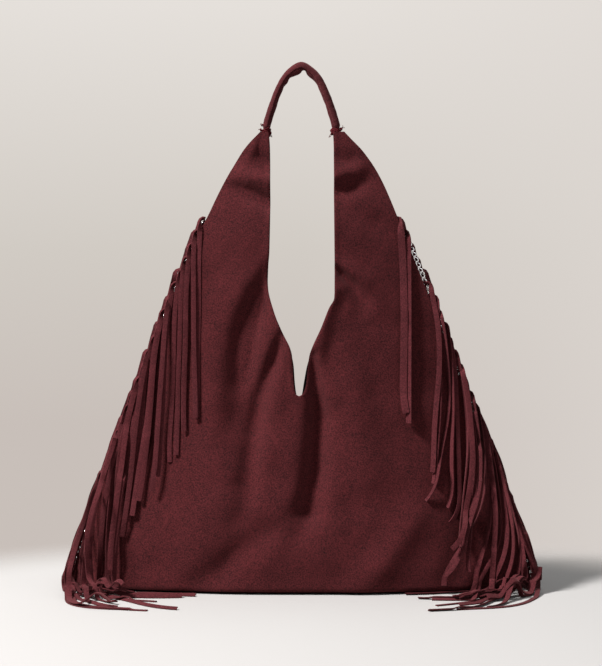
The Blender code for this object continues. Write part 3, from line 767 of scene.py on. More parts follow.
def skin_rings(bm, rings):
    """Faces from each ring of vertices to the next, and over both ends."""
    for first, second in zip(rings, rings[1:]):
        for i in range(len(first)):
            j = (i + 1) % len(first)
            bm.faces.new((first[i], first[j], second[j], second[i]))
    bm.faces.new(rings[0])
    bm.faces.new(rings[-1])


def tube_mesh(name, rings):
    """A closed tube through rings of points."""
    bm = bmesh.new()
    skin_rings(bm, [[bm.verts.new(point) for point in ring] for ring in rings])
    return closed_mesh(bm, name)


route = handle_route(220)
tangents = np.gradient(route, axis=0)
tangents /= np.linalg.norm(tangents, axis=1)[:, None]
outwards = np.stack((-tangents[:, 1], tangents[:, 0]), -1)
rings = []
for (x, z), (out_x, out_z) in zip(route, outwards):
    grown = float(smooth_step(z, TACK_LOW, TACK_LOW + 0.005))
    leftness = float(1.0 - smooth_step(x, -0.012, 0.012))
    radius = HANDLE_RADIUS[1] + (HANDLE_RADIUS[-1] - HANDLE_RADIUS[1]) * leftness
    across = TONGUE[0] + (radius - TONGUE[0]) * grown
    through = TONGUE[1] + (radius - TONGUE[1]) * grown
    kink = KINK[2] * math.exp(-(((x - KINK[0]) / KINK[1]) ** 2))
    lap_angle = LAP_ANGLE + LAP_WANDER * math.sin(x / LAP_WAVE) * grown
    ring = []
    for i in range(RING_VERTICES):
        angle = 2 * math.pi * i / RING_VERTICES
        radial, front = math.cos(angle), -math.sin(angle)
        inner = max(0.0, -radial) ** 1.5
        dent = sum(d * math.exp(-(((x - c) / w) ** 2)) for c, w, d in WRINKLES)
        crease_place = Vector((x * CREASE_SCALE, z * CREASE_SCALE, 0.5 + front))
        creases = CREASE_HEIGHT * noise.noise(crease_place)
        rolled = ((angle - lap_angle) / (2 * math.pi)) % 1.0
        change = kink - inner * dent * grown + (creases + LAP_HEIGHT * (rolled - 0.6)) * grown
        a = (across + change) * radial
        b = (through + change) * front
        shift = LEFT_ARM_SHIFT * leftness * grown
        ring.append((x + shift + out_x * a, b, z + out_z * a))
    rings.append(ring)
handle = finished_object("rolled_handle", tube_mesh("rolled_handle", rings), handle_suede)
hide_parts("handle")
print("handle:", len(handle.data.polygons), "faces")

# %% [markdown]
# ## Thread
# Each foot of the handle is bound to the horn's tip with a few turns of thread, pulled tight and cut
# off, so it is lumpy and its ends stand out. A turn is a torus whose points are moved to the handle's
# section, and each turn is tilted a little differently.

# %% Thread turns and ends
THREAD_RADIUS = 0.65 * MM
THREAD_TURNS = 4
THREAD_PITCH = 1.05 * MM
THREAD_HALF_X = 4.0 * MM
THREAD_HALF_Y = 3.9 * MM
# Lumps of thread beside each foot: mm across and up from the foot's base, size, how many turns
KNOTS = {
    -1: ((-2.9, 5.6, 0.9, 2), (-4.4, 0.6, 1.0, 3), (4.4, 0.2, 1.2, 4), (4.6, -2.6, 1.2, 4),
         (4.4, -5.2, 0.9, 2)),
    1: ((-5.0, -0.2, 1.3, 4), (-4.6, -3.0, 1.3, 4), (4.2, 1.4, 1.1, 3), (5.4, 1.6, 0.9, 2),
        (0.5, 1.2, 1.1, 2)),
}
# Loose ends as points in mm from the same place
THREAD_ENDS = {
    -1: (
        ((-4.0, -1.0, 5.0), (-5.0, -1.4, 6.2), (-4.4, -1.6, 7.6)),
        ((4.4, -1.4, -4.6), (5.6, -2.0, -6.2), (7.2, -2.0, -6.0)),
        ((4.6, -1.0, -3.4), (6.0, -1.4, -4.4), (6.8, -1.2, -7.4)),
        ((-5.2, -1.2, 0.2), (-6.6, -1.4, 1.2), (-7.4, -1.4, 0.4)),
    ),
    1: (
        ((-5.4, -1.2, -4.4), (-6.8, -1.6, -6.6), (-8.6, -1.6, -7.0)),
        ((5.6, -1.0, 2.4), (6.6, -1.2, 3.8), (6.2, -1.0, 5.2)),
        ((6.0, -1.4, 2.0), (7.6, -1.8, 3.0), (8.4, -1.6, 2.4)),
        ((-5.8, -1.4, -3.6), (-7.2, -1.4, -5.2), (-7.4, -1.6, -7.2)),
    ),
}
rng = np.random.default_rng(5)


def bent_thread(points, radius, sides=6):
    """A thin tube through a few points, eased between them."""
    path = np.array(points, float)
    s = np.arange(len(path), dtype=float)
    curves = [smooth_curve(list(zip(s, path[:, k]))) for k in range(3)]
    fine = np.linspace(0.0, s[-1], 6 * (len(path) - 1) + 1)
    line = np.stack([curve(fine) for curve in curves], -1)
    along = np.gradient(line, axis=0)
    rings = []
    for point, tangent in zip(line, along):
        turn = Vector(tangent).to_track_quat("Z", "Y")
        circle = [(math.cos(a), math.sin(a)) for a in np.arange(sides) * 2 * math.pi / sides]
        rings.append([Vector(point) + turn @ Vector((radius * c, radius * d, 0.0)) for c, d in circle])
    return rings


def join_pieces(name, pieces):
    """Joins mesh objects into one at the origin."""
    bpy.ops.object.select_all(action="DESELECT")
    for piece in pieces:
        piece.select_set(True)
    bpy.context.view_layer.objects.active = pieces[0]
    bpy.ops.object.join()
    joined = bpy.context.object
    joined.name = name
    joined.data.name = name
    bpy.ops.object.transform_apply(location=True, rotation=True, scale=True)
    bpy.ops.object.select_all(action="DESELECT")
    return joined


def loose_object(name, mesh):
    """A mesh as a plain object, to be joined into a piece."""
    thing = bpy.data.objects.new(name, mesh)
    bpy.context.scene.collection.objects.link(thing)
    return thing


for hand, word in ((-1, "left"), (1, "right")):
    foot = (TIP_HALF_WIDTH + MOUTH_HALF_WIDTH) / 2
    turns = []
    for i in range(THREAD_TURNS):
        z = TACK_LOW + (i - 1.5) * THREAD_PITCH
        middle = (hand * (foot + HANDLE_LEAN * (BAG_HEIGHT - z)), 0.0, z)
        bpy.ops.mesh.primitive_torus_add(
            major_segments=32, minor_segments=6, major_radius=1.0, minor_radius=0.1, location=middle
        )
        turn = bpy.context.object
        grow = 1.0 + 0.12 * rng.random()
        half_x, half_y = THREAD_HALF_X * grow, THREAD_HALF_Y * grow
        for vertex in turn.data.vertices:
            angle = math.atan2(vertex.co.y, vertex.co.x)
            ring = Vector((math.cos(angle), math.sin(angle), 0.0))
            section = (vertex.co - ring) * (THREAD_RADIUS / 0.1)
            vertex.co = Vector((ring.x * half_x, ring.y * half_y, 0.0)) + section
        turn.rotation_euler = (rng.normal(0.0, 0.14), hand * 0.25 + rng.normal(0.0, 0.16), 0.0)
        turns.append(turn)
    for along, level, size, count in KNOTS[hand]:
        for _ in range(count):
            bpy.ops.mesh.primitive_torus_add(
                major_segments=14, minor_segments=6,
                major_radius=size * MM, minor_radius=size * 0.62 * MM,
                location=(
                    hand * foot + (along + rng.normal(0.0, 0.35)) * MM, rng.normal(-0.6, 0.5) * MM,
                    TACK_LOW + (level + rng.normal(0.0, 0.35)) * MM,
                ),
                rotation=tuple(rng.uniform(0.0, math.pi, 3)),
            )
            turns.append(bpy.context.object)
    for points in THREAD_ENDS[hand]:
        route = [(hand * foot + a * MM, b * MM, TACK_LOW + c * MM) for a, b, c in points]
        mesh = tube_mesh("thread_end", bent_thread(route, 0.30 * MM))
        turns.append(loose_object("thread_end", mesh))
    tack = join_pieces("thread_tack_" + word, turns)
    tack.data.materials.clear()
    tack.data.materials.append(waxed_thread)
    tack.data.shade_smooth()
    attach(tack, "root")
    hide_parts("tack_" + word)

# %% [markdown]
# ## Curb chain
# A curb chain is made of oval links, each twisted so that the next one lies through it flat. One link
# is modelled from a torus: pulled long, then twisted along its length. Copies follow the side seam,
# each as far from the last as the inner length of a link. On the right they slant across the seam.

# %% Chain links
LINK_WIRE = 1.6 * MM
LINK_PITCH = 6.0 * MM
LINK_WIDTH = 6.8 * MM
LINK_TWIST = math.radians(50)
CHAIN_BOTTOM = 0.012
LINK_TURN = {-1: math.radians(25), 1: math.radians(62)}
LINK_TILT = {-1: 0.0, 1: math.radians(-24)}
CHAIN_START = {-1: 5 * MM, 1: 19 * MM}
# Where the chain works its way out between the strips: height, half length of the stretch, how far
CHAIN_OUT = {-1: ((0.279, 0.005, 2.6 * MM), (0.370, 0.004, 1.6 * MM)),
             1: ((0.342, 0.022, 0.6 * MM), (0.236, 0.006, 2.0 * MM))}
# Distance of the chain's middle from the seam elsewhere
CHAIN_REST = {-1: -0.4 * MM, 1: 0.6 * MM}


def chain_offset(z, hand):
    """Distance of the chain's middle from the seam."""
    outs = [far * math.exp(-(((z - at) / half) ** 4)) for at, half, far in CHAIN_OUT[hand]]
    return CHAIN_REST[hand] + sum(outs)


def seam_frame(z):
    """Directions at the right side seam: down along it, and out of it."""
    step = 1 * MM
    run = float(seam_half_width(z - step) - seam_half_width(z + step))
    down = Vector((run, 0.0, -2 * step)).normalized()
    return down, Vector((-down.z, 0.0, down.x))


def link_turn(hand):
    """How a link lies in the chain: turned about its length, and slanting across the seam."""
    return Matrix.Rotation(LINK_TILT[hand], 4, "Y") @ Matrix.Rotation(LINK_TURN[hand], 4, "Z")


def curb_link():
    """One link, its length along Z, twisted by LINK_TWIST towards each end."""
    bpy.ops.mesh.primitive_torus_add(
        major_segments=24, minor_segments=8, major_radius=1.0, minor_radius=0.1,
        rotation=(math.pi / 2, 0, 0),
    )
    link = bpy.context.object
    bpy.ops.object.transform_apply(rotation=True)
    half_length = (LINK_PITCH + LINK_WIRE) / 2
    half_width = (LINK_WIDTH - LINK_WIRE) / 2
    for vertex in link.data.vertices:
        angle = math.atan2(vertex.co.z, vertex.co.x)
        ring = Vector((math.cos(angle), 0.0, math.sin(angle)))
        section = (vertex.co - ring) * (LINK_WIRE / 2 / 0.1)
        place = Vector((ring.x * half_width, 0.0, ring.z * half_length)) + section
        twist = LINK_TWIST * place.z / half_length
        vertex.co = Matrix.Rotation(twist, 3, "Z") @ place
    return link


link = curb_link()
for hand, word in ((-1, "left"), (1, "right")):
    z = FRINGE_TOP - CHAIN_START[hand]
    copies = []
    while z > CHAIN_BOTTOM:
        down, out = seam_frame(z)
        copy = link.copy()
        copy.data = link.data.copy()
        bpy.context.scene.collection.objects.link(copy)
        place = Vector((float(seam_half_width(z)), 0.0, z)) + out * chain_offset(z, hand)
        turn = Matrix((out, Vector((0, 1, 0)), -down)).transposed().to_4x4()
        if hand < 0:
            turn = Matrix.Scale(-1, 4, (1, 0, 0)) @ turn
            place.x = -place.x
        copy.matrix_world = Matrix.Translation(place) @ turn @ link_turn(hand)
        copies.append(copy)
        z += down.z * LINK_PITCH
    count = len(copies)
    bpy.context.view_layer.update()
    chain = join_pieces("curb_chain_" + word, copies)
    bm = bmesh.new()
    bm.from_mesh(chain.data)
    bmesh.ops.recalc_face_normals(bm, faces=bm.faces[:])
    bm.to_mesh(chain.data)
    bm.free()
    chain.data.materials.clear()
    chain.data.materials.append(polished_nickel)
    chain.data.shade_smooth()
    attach(chain, "root")
    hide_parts("chain_" + word)
    print("chain", word, count, "links,", len(chain.data.polygons), "faces")
bpy.data.objects.remove(link)

# %% [markdown]
# ## Fringe
# Each side seam holds two rows of strips, cut into one band of suede. A strip comes out of the seam,
# turns down in a small arch, and hangs on the panel or, lower down, reaches the floor and piles up.
# Simulating so many strips is slow and hard to steer. Instead the strips are laid one after another
# on what is already there: a relief map holds how far the panel, or the pile, already stands out, and
# each new strip rests on it and then raises it. So strips hardly sink into anything.

# %% The relief map
CELL = 1 * MM


class Relief:
    """Heights over a plane in square cells: what the next strip has to lie on."""

    def __init__(self, low, high, height_of):
        self.low = np.array(low)
        counts = [math.ceil((b - a) / CELL) for a, b in zip(low, high)]
        centres = [a + (np.arange(n) + 0.5) * CELL for a, n in zip(low, counts)]
        self.heights = height_of(*np.meshgrid(*centres, indexing="ij"))

    def cells(self, points):
        index = np.floor((points - self.low) / CELL).astype(int)
        return tuple(np.clip(index[..., k], 0, self.heights.shape[k] - 1) for k in (0, 1))

    def at(self, points):
        return self.heights[self.cells(points)]

    def cover(self, points, tops):
        np.maximum.at(self.heights, self.cells(points), tops)


def width_points(middle, across):
    """Points across a strip's width, for each point of its path: shares of its half width, and places."""
    shares = np.linspace(-1.0, 1.0, 7)[:, None]
    return shares, middle[None] + shares[..., None] * across[None]


def resting_height(relief, middle, across, lift):
    """How high the strip's middle has to be to clear what lies under its whole width."""
    shares, points = width_points(middle, across)
    return (relief.at(points) - shares * lift).max(0) + FRINGE_SUEDE / 2 + STRIP_CLEARANCE


def cover_relief(relief, middle, across, lift, height):
    """Raises the relief to the strip's outer face."""
    shares, points = width_points(middle, across)
    tops = height + shares * lift + FRINGE_SUEDE / 2
    relief.cover(points.reshape(-1, 2), tops.reshape(-1))


def eased(needed, rounds):
    """The line of a stiff strip over what it has to clear: never lower, and smooth."""
    height = needed.copy()
    for _ in range(rounds):
        smooth = height.copy()
        smooth[1:-1] = (height[:-2] + 2 * height[1:-1] + height[2:]) / 4
        height = np.maximum(smooth, needed)
    return height


# %% [markdown]
# A row is worked out as if it were the right front one: u runs outwards from the middle of the bag,
# v runs away from the seam plane, and z is height. Mirroring places it. The path's angle is measured
# from straight down: it starts square out of the seam, drops to nearly nothing in the arch, and keeps
# a slight lean. The yaw turns the strip's face away from the front.

# %% Laying one strip
STRIP_STEP = 1 * MM
STRIP_CLEARANCE = 0.12 * MM
STRIP_LENGTH = 0.205
OUT_OF_SEAM = math.radians(104)
ROOT_DEPTH = (STRIP_IN + STRIP_OUT) / 2
ROOT_INSIDE = 1.5 * MM
# Lengths of strip over which it turns out of the seam, is swept sideways, curls at its end, and turns
# to its heading before it meets the floor
ROOT_TURN = (0.006, 0.026)
SWEEP_SPAN = (0.07, 0.15)
CURL_LENGTH = 0.035
TWIST_LENGTH = 0.050
# On the floor: where the pile is measured, outwards of the root and away from the seam plane, the
# lengths over which a strip swerves, hooks and rolls, and half the length of a hump
LANDING_PLACE = (5 * MM, 0.030)
SWERVE_LENGTH = 0.1
HOOK_LENGTH = 0.05
ROLL_LENGTH = 0.03
HUMP_LENGTH = 0.014
# Strips keep within these headings, and near the farthest line they turn to run along the bag
HEADINGS = (0.15, 1.9)
ALONG_BAG = 1.35
# Rounds of easing: more of them make a strip stiffer
HANGING_ROUNDS = 45
SIDEWAYS_ROUNDS = 20
PILE_ROUNDS = 14


def hanging_path(strip):
    """Middle line (u, z), its angle and the yaw of a strip, as if it never met the floor."""
    count = int(strip["length"] / STRIP_STEP)
    s = np.arange(count + 1) * STRIP_STEP
    arch = OUT_OF_SEAM * (1.0 - smooth_step(s, strip["reach"], strip["reach"] + strip["arch"]))
    lean = strip["lean"] + strip["sway"] * np.sin(2 * math.pi * (s / strip["wave"] + strip["phase"]))
    lean = lean + strip["drape"] * (1.0 - smooth_step(s, 0.015, strip["draped"]))
    lean = lean + strip["sweep"] * smooth_step(s, *SWEEP_SPAN)
    curl = strip["curl"] * np.clip((s - strip["length"] + CURL_LENGTH) / CURL_LENGTH, 0.0, 1.0) ** 1.5
    angle = arch + (lean + curl) * smooth_step(s, 0.0, 0.025)
    step = np.concatenate(([0.0], np.full(count, STRIP_STEP)))
    u = strip["u"] - ROOT_INSIDE + np.cumsum(step * np.sin(angle))
    z = strip["z"] - np.cumsum(step * np.cos(angle))
    turning = 1.0 - smooth_step(s, *ROOT_TURN)
    edge_on = strip["edge_on"] * smooth_step(s, 0.0, 0.005) * turning
    wobble = strip["wobble"] * np.sin(2 * math.pi * (s / (strip["wave"] * 0.8) + strip["phase"] * 3))
    yaw = strip["yaw"] + strip["turn"] * s / strip["length"] + wobble
    yaw = yaw + (edge_on - yaw) * turning
    return s, u, z, angle, yaw


def lay_strip(strip, front, ground):
    """Path (u, v, z) and half-width vectors of one strip that rests on the two reliefs."""
    s, u, z, angle, yaw = hanging_path(strip)
    half = strip["width"] / 2 * (1.0 - 0.25 * (1.0 - smooth_step(s, 0.0, 0.012)))
    landing = ground.at(np.array((strip["u"] + LANDING_PLACE[0], LANDING_PLACE[1])))
    bend_height = min(strip["bend"] + float(landing) + FRINGE_SUEDE, 0.6 * strip["z"])
    touching = np.nonzero(z < bend_height)[0]
    last = touching[0] if len(touching) else len(s)
    if last < len(s):
        near = smooth_step(s, s[last] - TWIST_LENGTH, s[last])
        yaw = yaw + (strip["heading"] - yaw) * near

    middle = np.stack((u, z), -1)[:last]
    flat = (half * np.cos(yaw))[:last, None]
    across = flat * np.stack((np.cos(angle), np.sin(angle)), -1)[:last]
    lift = (half * np.sin(yaw))[:last]
    needed = resting_height(front, middle, across, lift)
    arch_share = smooth_step(s[:last], 0.0, strip["arch"])
    inside = ROOT_DEPTH + arch_share * 0.8 * MM
    free = s[:last] < strip["arch"] + strip["reach"] + 2 * MM
    needed = np.where(free, inside, needed + strip["air"] * smooth_step(s[:last], 0.02, 0.09))
    v = np.maximum.accumulate(eased(needed, HANGING_ROUNDS))
    path = np.stack((middle[:, 0], v, middle[:, 1]), -1)
    widths = np.stack((across[:, 0], lift, across[:, 1]), -1)
    covered = slice(int((strip["arch"] + strip["reach"]) / STRIP_STEP), last)
    cover_relief(front, middle[covered], across[covered], lift[covered], v[covered])
    if last == len(s):
        return path, widths

    remaining = len(s) - last
    start = path[-1]
    run = np.arange(1, remaining + 1) * STRIP_STEP
    bend = strip["bend"]
    turned = np.minimum(run / bend, math.pi / 2)
    past_bend = run - bend * (math.pi / 2 - 1)
    forwards = np.where(run < bend * math.pi / 2, bend * (1 - np.cos(turned)), past_bend)
    on_floor = np.maximum(forwards - bend, 0.0)
    heading = strip["heading"] + strip["swerve"] * on_floor / SWERVE_LENGTH
    heading = heading + strip["hook"] * np.clip(on_floor / HOOK_LENGTH, 0.0, 1.0) ** 1.5
    heading = np.clip(heading, *HEADINGS)
    steps = np.diff(np.concatenate(([0.0], forwards)))
    straight_on = start[1] + np.cumsum(steps * np.cos(heading))
    near = smooth_step(straight_on, strip["farthest"] - 0.06, strip["farthest"] + 0.02)
    heading = heading + (ALONG_BAG - heading) * near
    ground_u = np.minimum(start[0] - np.cumsum(steps * np.sin(heading)), OUTERMOST)
    ground_v = start[1] + np.cumsum(steps * np.cos(heading))
    foot_height = np.full(remaining, 5 * MM)
    bag_edge = panel_surface(strip["hand"] * ground_u, foot_height, strip["side"]) + half[last:] + GAP
    beside_bag = np.where(ground_u < BASE_HALF_WIDTH, bag_edge, 0.0)
    ground_v = np.maximum(ground_v, eased(beside_bag, SIDEWAYS_ROUNDS))
    ground_v = np.minimum(ground_v, strip["farthest"])
    middle = np.stack((ground_u, ground_v), -1)
    roll = strip["roll"] * smooth_step(on_floor, 0.0, ROLL_LENGTH)
    across = (half[last:] * np.cos(roll))[:, None] * np.stack((np.cos(heading), np.sin(heading)), -1)
    lift = half[last:] * np.sin(roll)
    arc = bend_height - bend * np.sin(turned)
    hump = strip["hump"] * np.exp(-(((on_floor - strip["hump_place"]) / HUMP_LENGTH) ** 2))
    bending = np.where(turned < math.pi / 2, arc, 0.0)
    needed = np.maximum(resting_height(ground, middle, across, lift), bending)
    height = eased(np.maximum(needed, needed.min() + hump), PILE_ROUNDS)
    cover_relief(ground, middle, across, lift, height)
    path = np.concatenate((path, np.stack((ground_u, ground_v, height), -1)))
    widths = np.concatenate((widths, np.stack((across[:, 0], across[:, 1], lift), -1)))
    return path, widths


# %% [markdown]
# The rows differ. On the left in front the strips hang flat, side by side, and close to the seam. On
# the right they arch further out, turn edge-on, curl at their ends, and leave a gap near the top where
# the chain shows. The heading says where a strip falls on the floor: 0 is straight away from the bag,
# a quarter turn is towards its middle.

# %% Styles of the four rows
# Spacing of the roots across the bag: in the upper and in the lower part of a row
STRIP_PITCHES = (5.4 * MM, 3.7 * MM)
FIRST_ROOT_RISE = 3 * MM
STRIP_WIDTH = 5.0 * MM
FARTHEST = 0.146
OUTERMOST = 0.258
# Each choice is a curve over the way down the seam, from 0 at its top to 1 at its foot, and a spread.
# "order" scales all the spreads. "shade" is painted light and shade of the strips: darker in the right
# front row, which the key lamp on the left lights less, and darker lower down in every row. "tones" is
# the random spread of each strip's tone around it. "missing" strips are left out, and "disorder" mixes up
# which strip lies on which. "own" sets single strips, counted from the top, or with a negative number
# from the foot.
LEFT_LOOSE = {
    "order": ((0, 0.20), (0.35, 0.40), (0.6, 1.0), (1, 1.0)), "tones": 0.14,
    # painted light and shade: lighter near the top, darker lower down
    "shade": ((0, 0.62), (0.5, 0.62), (1, 0.45)),
    "lean": (
        ((0, 0.00), (0.15, 0.04), (0.3, 0.09), (0.45, 0.15), (0.6, 0.22), (0.8, 0.28), (1, 0.26)), 0.030,
    ),
    "drape": (((0, 0.05), (0.3, 0.10), (1, 0.10)), 0.04),
    "sweep": (((0, 0.0), (0.35, 0.0), (0.5, -0.12), (0.7, -0.34), (1, -0.3)), 0.12),
    "sway": (((0, 0.01), (0.5, 0.03), (1, 0.05)), 0.02),
    "yaw": (((0, 0.03), (0.3, 0.06), (0.6, 0.25), (1, 0.4)), 0.24),
    "turn": (((0, 0.0), (0.5, 0.1), (1, 0.3)), 0.28),
    "curl": (((0, 0.0), (1, 0.0)), 0.20),
    "air": (((0, 0.0006), (0.5, 0.004), (0.7, 0.010), (1, 0.014)), 0.0050),
    "heading": (((0, 0.5), (0.5, 0.50), (0.8, 0.60), (1, 0.60)), 0.35),
    "hook": (((0, 0.2), (0.5, 0.25), (1, 0.5)), 0.35),
}
RIGHT_LOOSE = {
    "order": ((0, 0.5), (0.3, 1.0), (1, 1.0)), "tones": 0.2,
    # painted shade: darker than on the left, since the key lamp on the left lights this row less, and
    # darker still lower down
    "shade": ((0, 0.50), (0.5, 0.42), (1, 0.28)),
    "lean": (((0, 0.01), (0.2, 0.02), (0.4, 0.05), (0.6, 0.10), (0.8, 0.18), (1, 0.22)), 0.035),
    "drape": (((0, 0.0), (0.3, 0.16), (1, 0.16)), 0.05),
    "sweep": (((0, -0.04), (0.3, -0.08), (0.45, -0.30), (0.65, -0.55), (1, -0.45)), 0.10),
    "sway": (((0, 0.02), (0.5, 0.04), (1, 0.05)), 0.03),
    "yaw": (((0, 0.45), (0.3, 0.65), (1, 0.6)), 0.40),
    "turn": (((0, 0.2), (1, 0.3)), 0.55),
    "curl": (((0, -0.15), (0.5, -0.35), (1, -0.1)), 0.45),
    "air": (((0, 0.0015), (0.5, 0.005), (0.7, 0.011), (1, 0.015)), 0.0050),
    "heading": (((0, 0.5), (0.5, 0.50), (0.8, 0.50), (1, 0.45)), 0.35),
    "hook": (((0, 0.2), (0.5, 0.35), (1, 0.8)), 0.40),
}
BACK_LOOSE = {
    **LEFT_LOOSE,
    "order": ((0, 1.0), (1, 1.0)),
    "drape": (((0, 0.34), (0.5, 0.20), (1, 0.12)), 0.04),
    "yaw": (((0, 0.25), (1, 0.4)), 0.35),
}
ROWS = {
    "left_front": {
        **LEFT_LOOSE, "hand": -1, "side": -1, "seed": 11, "reach": 1 * MM, "arch": (0.008, 0.012),
        "missing": (), "disorder": 1.5,
    },
    "right_front": {
        **RIGHT_LOOSE, "hand": 1, "side": -1, "seed": 23, "reach": 2 * MM, "arch": (0.010, 0.013),
        "missing": (2, 3, 4), "disorder": 2.0,
        "own": {
            0: {
                "lean": 0.02, "drape": 0.05, "sway": 0.0, "yaw": 0.0, "turn": 0.2, "curl": 0.25,
                "sweep": -0.04, "width": 7.4 * MM, "arch": 0.006, "wobble": 0.0,
            },
            1: {
                "lean": 0.0, "drape": 0.0, "sway": 0.0, "yaw": 0.0, "turn": 0.7, "curl": 0.0,
                "sweep": 0.0, "width": 6.6 * MM, "arch": 0.009, "wobble": 0.0,
            },
            -9: {
                "lean": 0.31, "drape": 0.05, "sweep": 0.16, "sway": 0.0, "yaw": 0.3, "turn": 0.3,
                "curl": 0.0, "heading": 0.55, "hook": 0.5, "swerve": 0.0, "bend": 0.010, "hump": 0.0,
                "air": 0.0,
            },
        },
    },
    "left_back": {
        **BACK_LOOSE, "hand": -1, "side": 1, "seed": 37, "reach": 2 * MM, "arch": (0.009, 0.013),
        "missing": (), "disorder": 2.0,
    },
    "right_back": {
        **BACK_LOOSE, "hand": 1, "side": 1, "seed": 41, "reach": 2.6 * MM, "arch": (0.008, 0.011),
        "missing": (), "disorder": 2.0,
    },
}


def root_places():
    """Half width and height of each strip's root: the strips then hang side by side."""
    z = np.linspace(FRINGE_TOP, FRINGE_BOTTOM, 2000)
    half_widths = seam_half_width(z)
    wanted = [half_widths[0] + 0.8 * MM]
    while wanted[-1] + STRIP_PITCHES[1] < half_widths[-1]:
        share = float(smooth_step(wanted[-1], 0.16, 0.22))
        upper, lower = STRIP_PITCHES
        wanted.append(wanted[-1] + upper + (lower - upper) * share)
    rise = FIRST_ROOT_RISE * (1.0 - smooth_step(np.array(wanted), wanted[0], wanted[0] + 0.02))
    return list(zip(wanted, np.interp(wanted, half_widths, z) + rise))


def plan_strip(style, index, count, root, draw):
    """The choices that make one strip differ from the next."""
    down = (FRINGE_TOP - root[1]) / FRINGE_TOP

    def pick(key):
        points, spread = style[key]
        change = order * spread * float(np.clip(draw.normal(), -2.0, 2.0))
        return float(smooth_curve(points)(down)) + change

    low_arch, high_arch = style["arch"]
    order = float(smooth_curve(style["order"])(down))
    # The row's painted light and shade at this height
    shade = float(smooth_curve(style["shade"])(down))
    plan = {
        "hand": style["hand"],
        "side": style["side"],
        "u": root[0],
        "z": root[1] + order * draw.normal() * 0.5 * MM,
        "length": STRIP_LENGTH + float(np.clip(draw.normal() * 4 * MM, -9 * MM, 9 * MM)),
        "width": STRIP_WIDTH * (1.0 + 0.08 * order * draw.normal()),
        "reach": style["reach"] * (0.7 + 0.6 * draw.random()) * min(1.0, 0.2 + 6 * down),
        "arch": low_arch + (high_arch - low_arch) * draw.random(),
        "edge_on": 1.0 + 0.25 * draw.random(),
        "wave": 0.09 + 0.09 * draw.random(),
        "phase": draw.random(),
        "draped": 0.05 + 0.04 * draw.random(),
        "wobble": 0.12 * order * draw.random(),
        "bend": (9 + 13 * draw.random()) * MM,
        "swerve": 0.5 * draw.normal(),
        "roll": 0.35 * draw.normal(),
        "hump": 16 * MM * draw.random() ** 2,
        "hump_place": 0.02 + 0.03 * draw.random(),
        "farthest": FARTHEST - 0.02 * draw.random(),
        "tone_and_painted_shade": float(np.clip(shade + style["tones"] * draw.normal(), 0.0, 1.0)),
    }
    for key in ("lean", "drape", "sweep", "sway", "yaw", "turn", "curl", "air", "heading", "hook"):
        plan[key] = pick(key)
    plan["air"] = max(0.0, plan["air"])
    own = style.get("own", {})
    plan.update(own.get(index, own.get(index - count, {})))
    return plan


# %% [markdown]
# A strip's section is a flat bar with a slight hollow across its width, as thin suede takes when it
# is cut. Six points make a ring, and the rings are joined along the path. All strips of a row become
# one piece, with the skived edge that the seam holds.

# %% Building a row
CUP = 0.25 * MM
RING_SPACING = 3
EDGE_STEP = 0.006
EDGE_TONE = 0.3
# What the chain takes up outside the seam, and the least height of a strip over the floor
CHAIN_ROOM = 3.4 * MM
FLOOR_GAP = 0.05 * MM
# Corners of the two reliefs: (u, z) on the panel and (u, v) on the floor
HANGING_AREA = ((0.06, -0.01), (0.30, 0.42))
FLOOR_AREA = ((0.02, -0.01), (0.32, 0.20))


def join_rings(bm, tone_and_painted_shade_layer, rings, tone_and_painted_shade):
    """Gives the rings' vertices their tone and painted shade, and the rings their faces."""
    for ring in rings:
        for vertex in ring:
            vertex[tone_and_painted_shade_layer] = tone_and_painted_shade
    skin_rings(bm, rings)


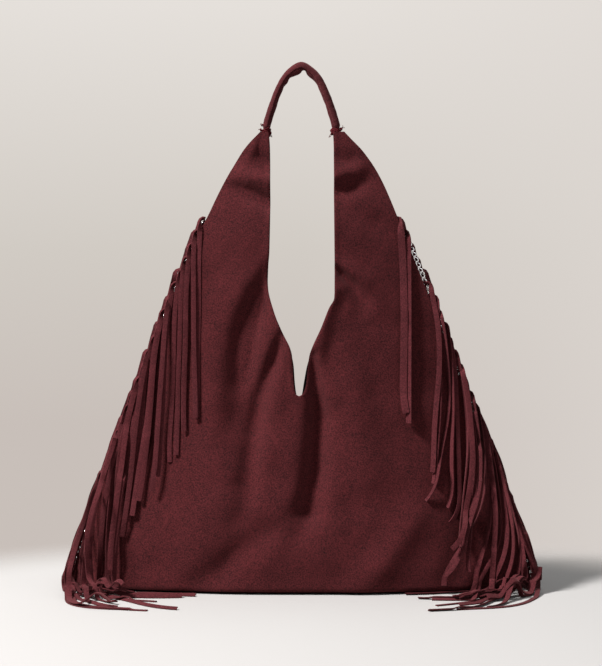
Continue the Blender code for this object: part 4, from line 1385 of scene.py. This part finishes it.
def add_strip(bm, tone_and_painted_shade_layer, path, widths, mirror, tone_and_painted_shade):
    """One closed strip through the stations of its path."""
    keep = list(range(0, len(path) - 1, RING_SPACING)) + [len(path) - 1]
    tangents = np.gradient(path, axis=0)
    rings = []
    for i in keep:
        width = widths[i]
        normal = np.cross(tangents[i], width)
        normal = normal / np.linalg.norm(normal)
        thick = normal * FRINGE_SUEDE / 2
        cup = normal * CUP
        corners = (
            width - thick + cup, width + thick + cup, thick,
            -width + thick + cup, -width - thick + cup, -thick,
        )
        rings.append([bm.verts.new((path[i] + corner) * mirror) for corner in corners])
    join_rings(bm, tone_and_painted_shade_layer, rings, tone_and_painted_shade)


def add_seam_edge(bm, tone_and_painted_shade_layer, mirror):
    """The uncut edge of the band, sewn into the seam."""
    rings = []
    for z in np.arange(FRINGE_TOP, FRINGE_BOTTOM - 0.01, -EDGE_STEP):
        _, out = seam_frame(z)
        out = np.array(out)
        seam = np.array((float(seam_half_width(z)), 0.0, z))
        points = []
        for reach, depth in ((0.8 * MM, STRIP_IN), (0.8 * MM, STRIP_OUT), (-FRINGE_EDGE, ROOT_DEPTH)):
            points.append((seam + out * reach + np.array((0.0, depth, 0.0))) * mirror)
        rings.append([bm.verts.new(point) for point in points])
    join_rings(bm, tone_and_painted_shade_layer, rings, EDGE_TONE)


for row_name, style in ROWS.items():
    draw = np.random.default_rng(style["seed"])
    hand, side = style["hand"], style["side"]

    def front_height(u, z):
        """Relief before any strip is laid: the panel, or the chain beyond the seam."""
        inside = u < seam_half_width(z)
        return np.where(inside, np.maximum(panel_surface(hand * u, z, side), 0.0), CHAIN_ROOM)

    front = Relief(*HANGING_AREA, front_height)
    ground = Relief(*FLOOR_AREA, lambda u, v: np.full(u.shape, FLOOR_GAP))
    roots = root_places()
    bm = bmesh.new()
    tone_and_painted_shade_layer = bm.verts.layers.float.new("tone_and_painted_shade")
    mirror = np.array((hand, side, 1.0))
    plans = [plan_strip(style, index, len(roots), root, draw) for index, root in enumerate(roots)]
    order = sorted(range(len(plans)), key=lambda i: -i + style["disorder"] * draw.normal())
    for index in order:
        if index in style["missing"]:
            continue
        path, widths = lay_strip(plans[index], front, ground)
        add_strip(bm, tone_and_painted_shade_layer, path, widths, mirror, plans[index]["tone_and_painted_shade"])
    add_seam_edge(bm, tone_and_painted_shade_layer, mirror)
    mesh = closed_mesh(bm, "fringe_strips_" + row_name)
    finished_object(mesh.name, mesh, fringe_leather, 35)
    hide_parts("fringe_" + row_name)
    print(row_name, len(plans), "strips,", len(mesh.polygons), "faces")

for side, word in ((-1, "front"), (1, "back")):
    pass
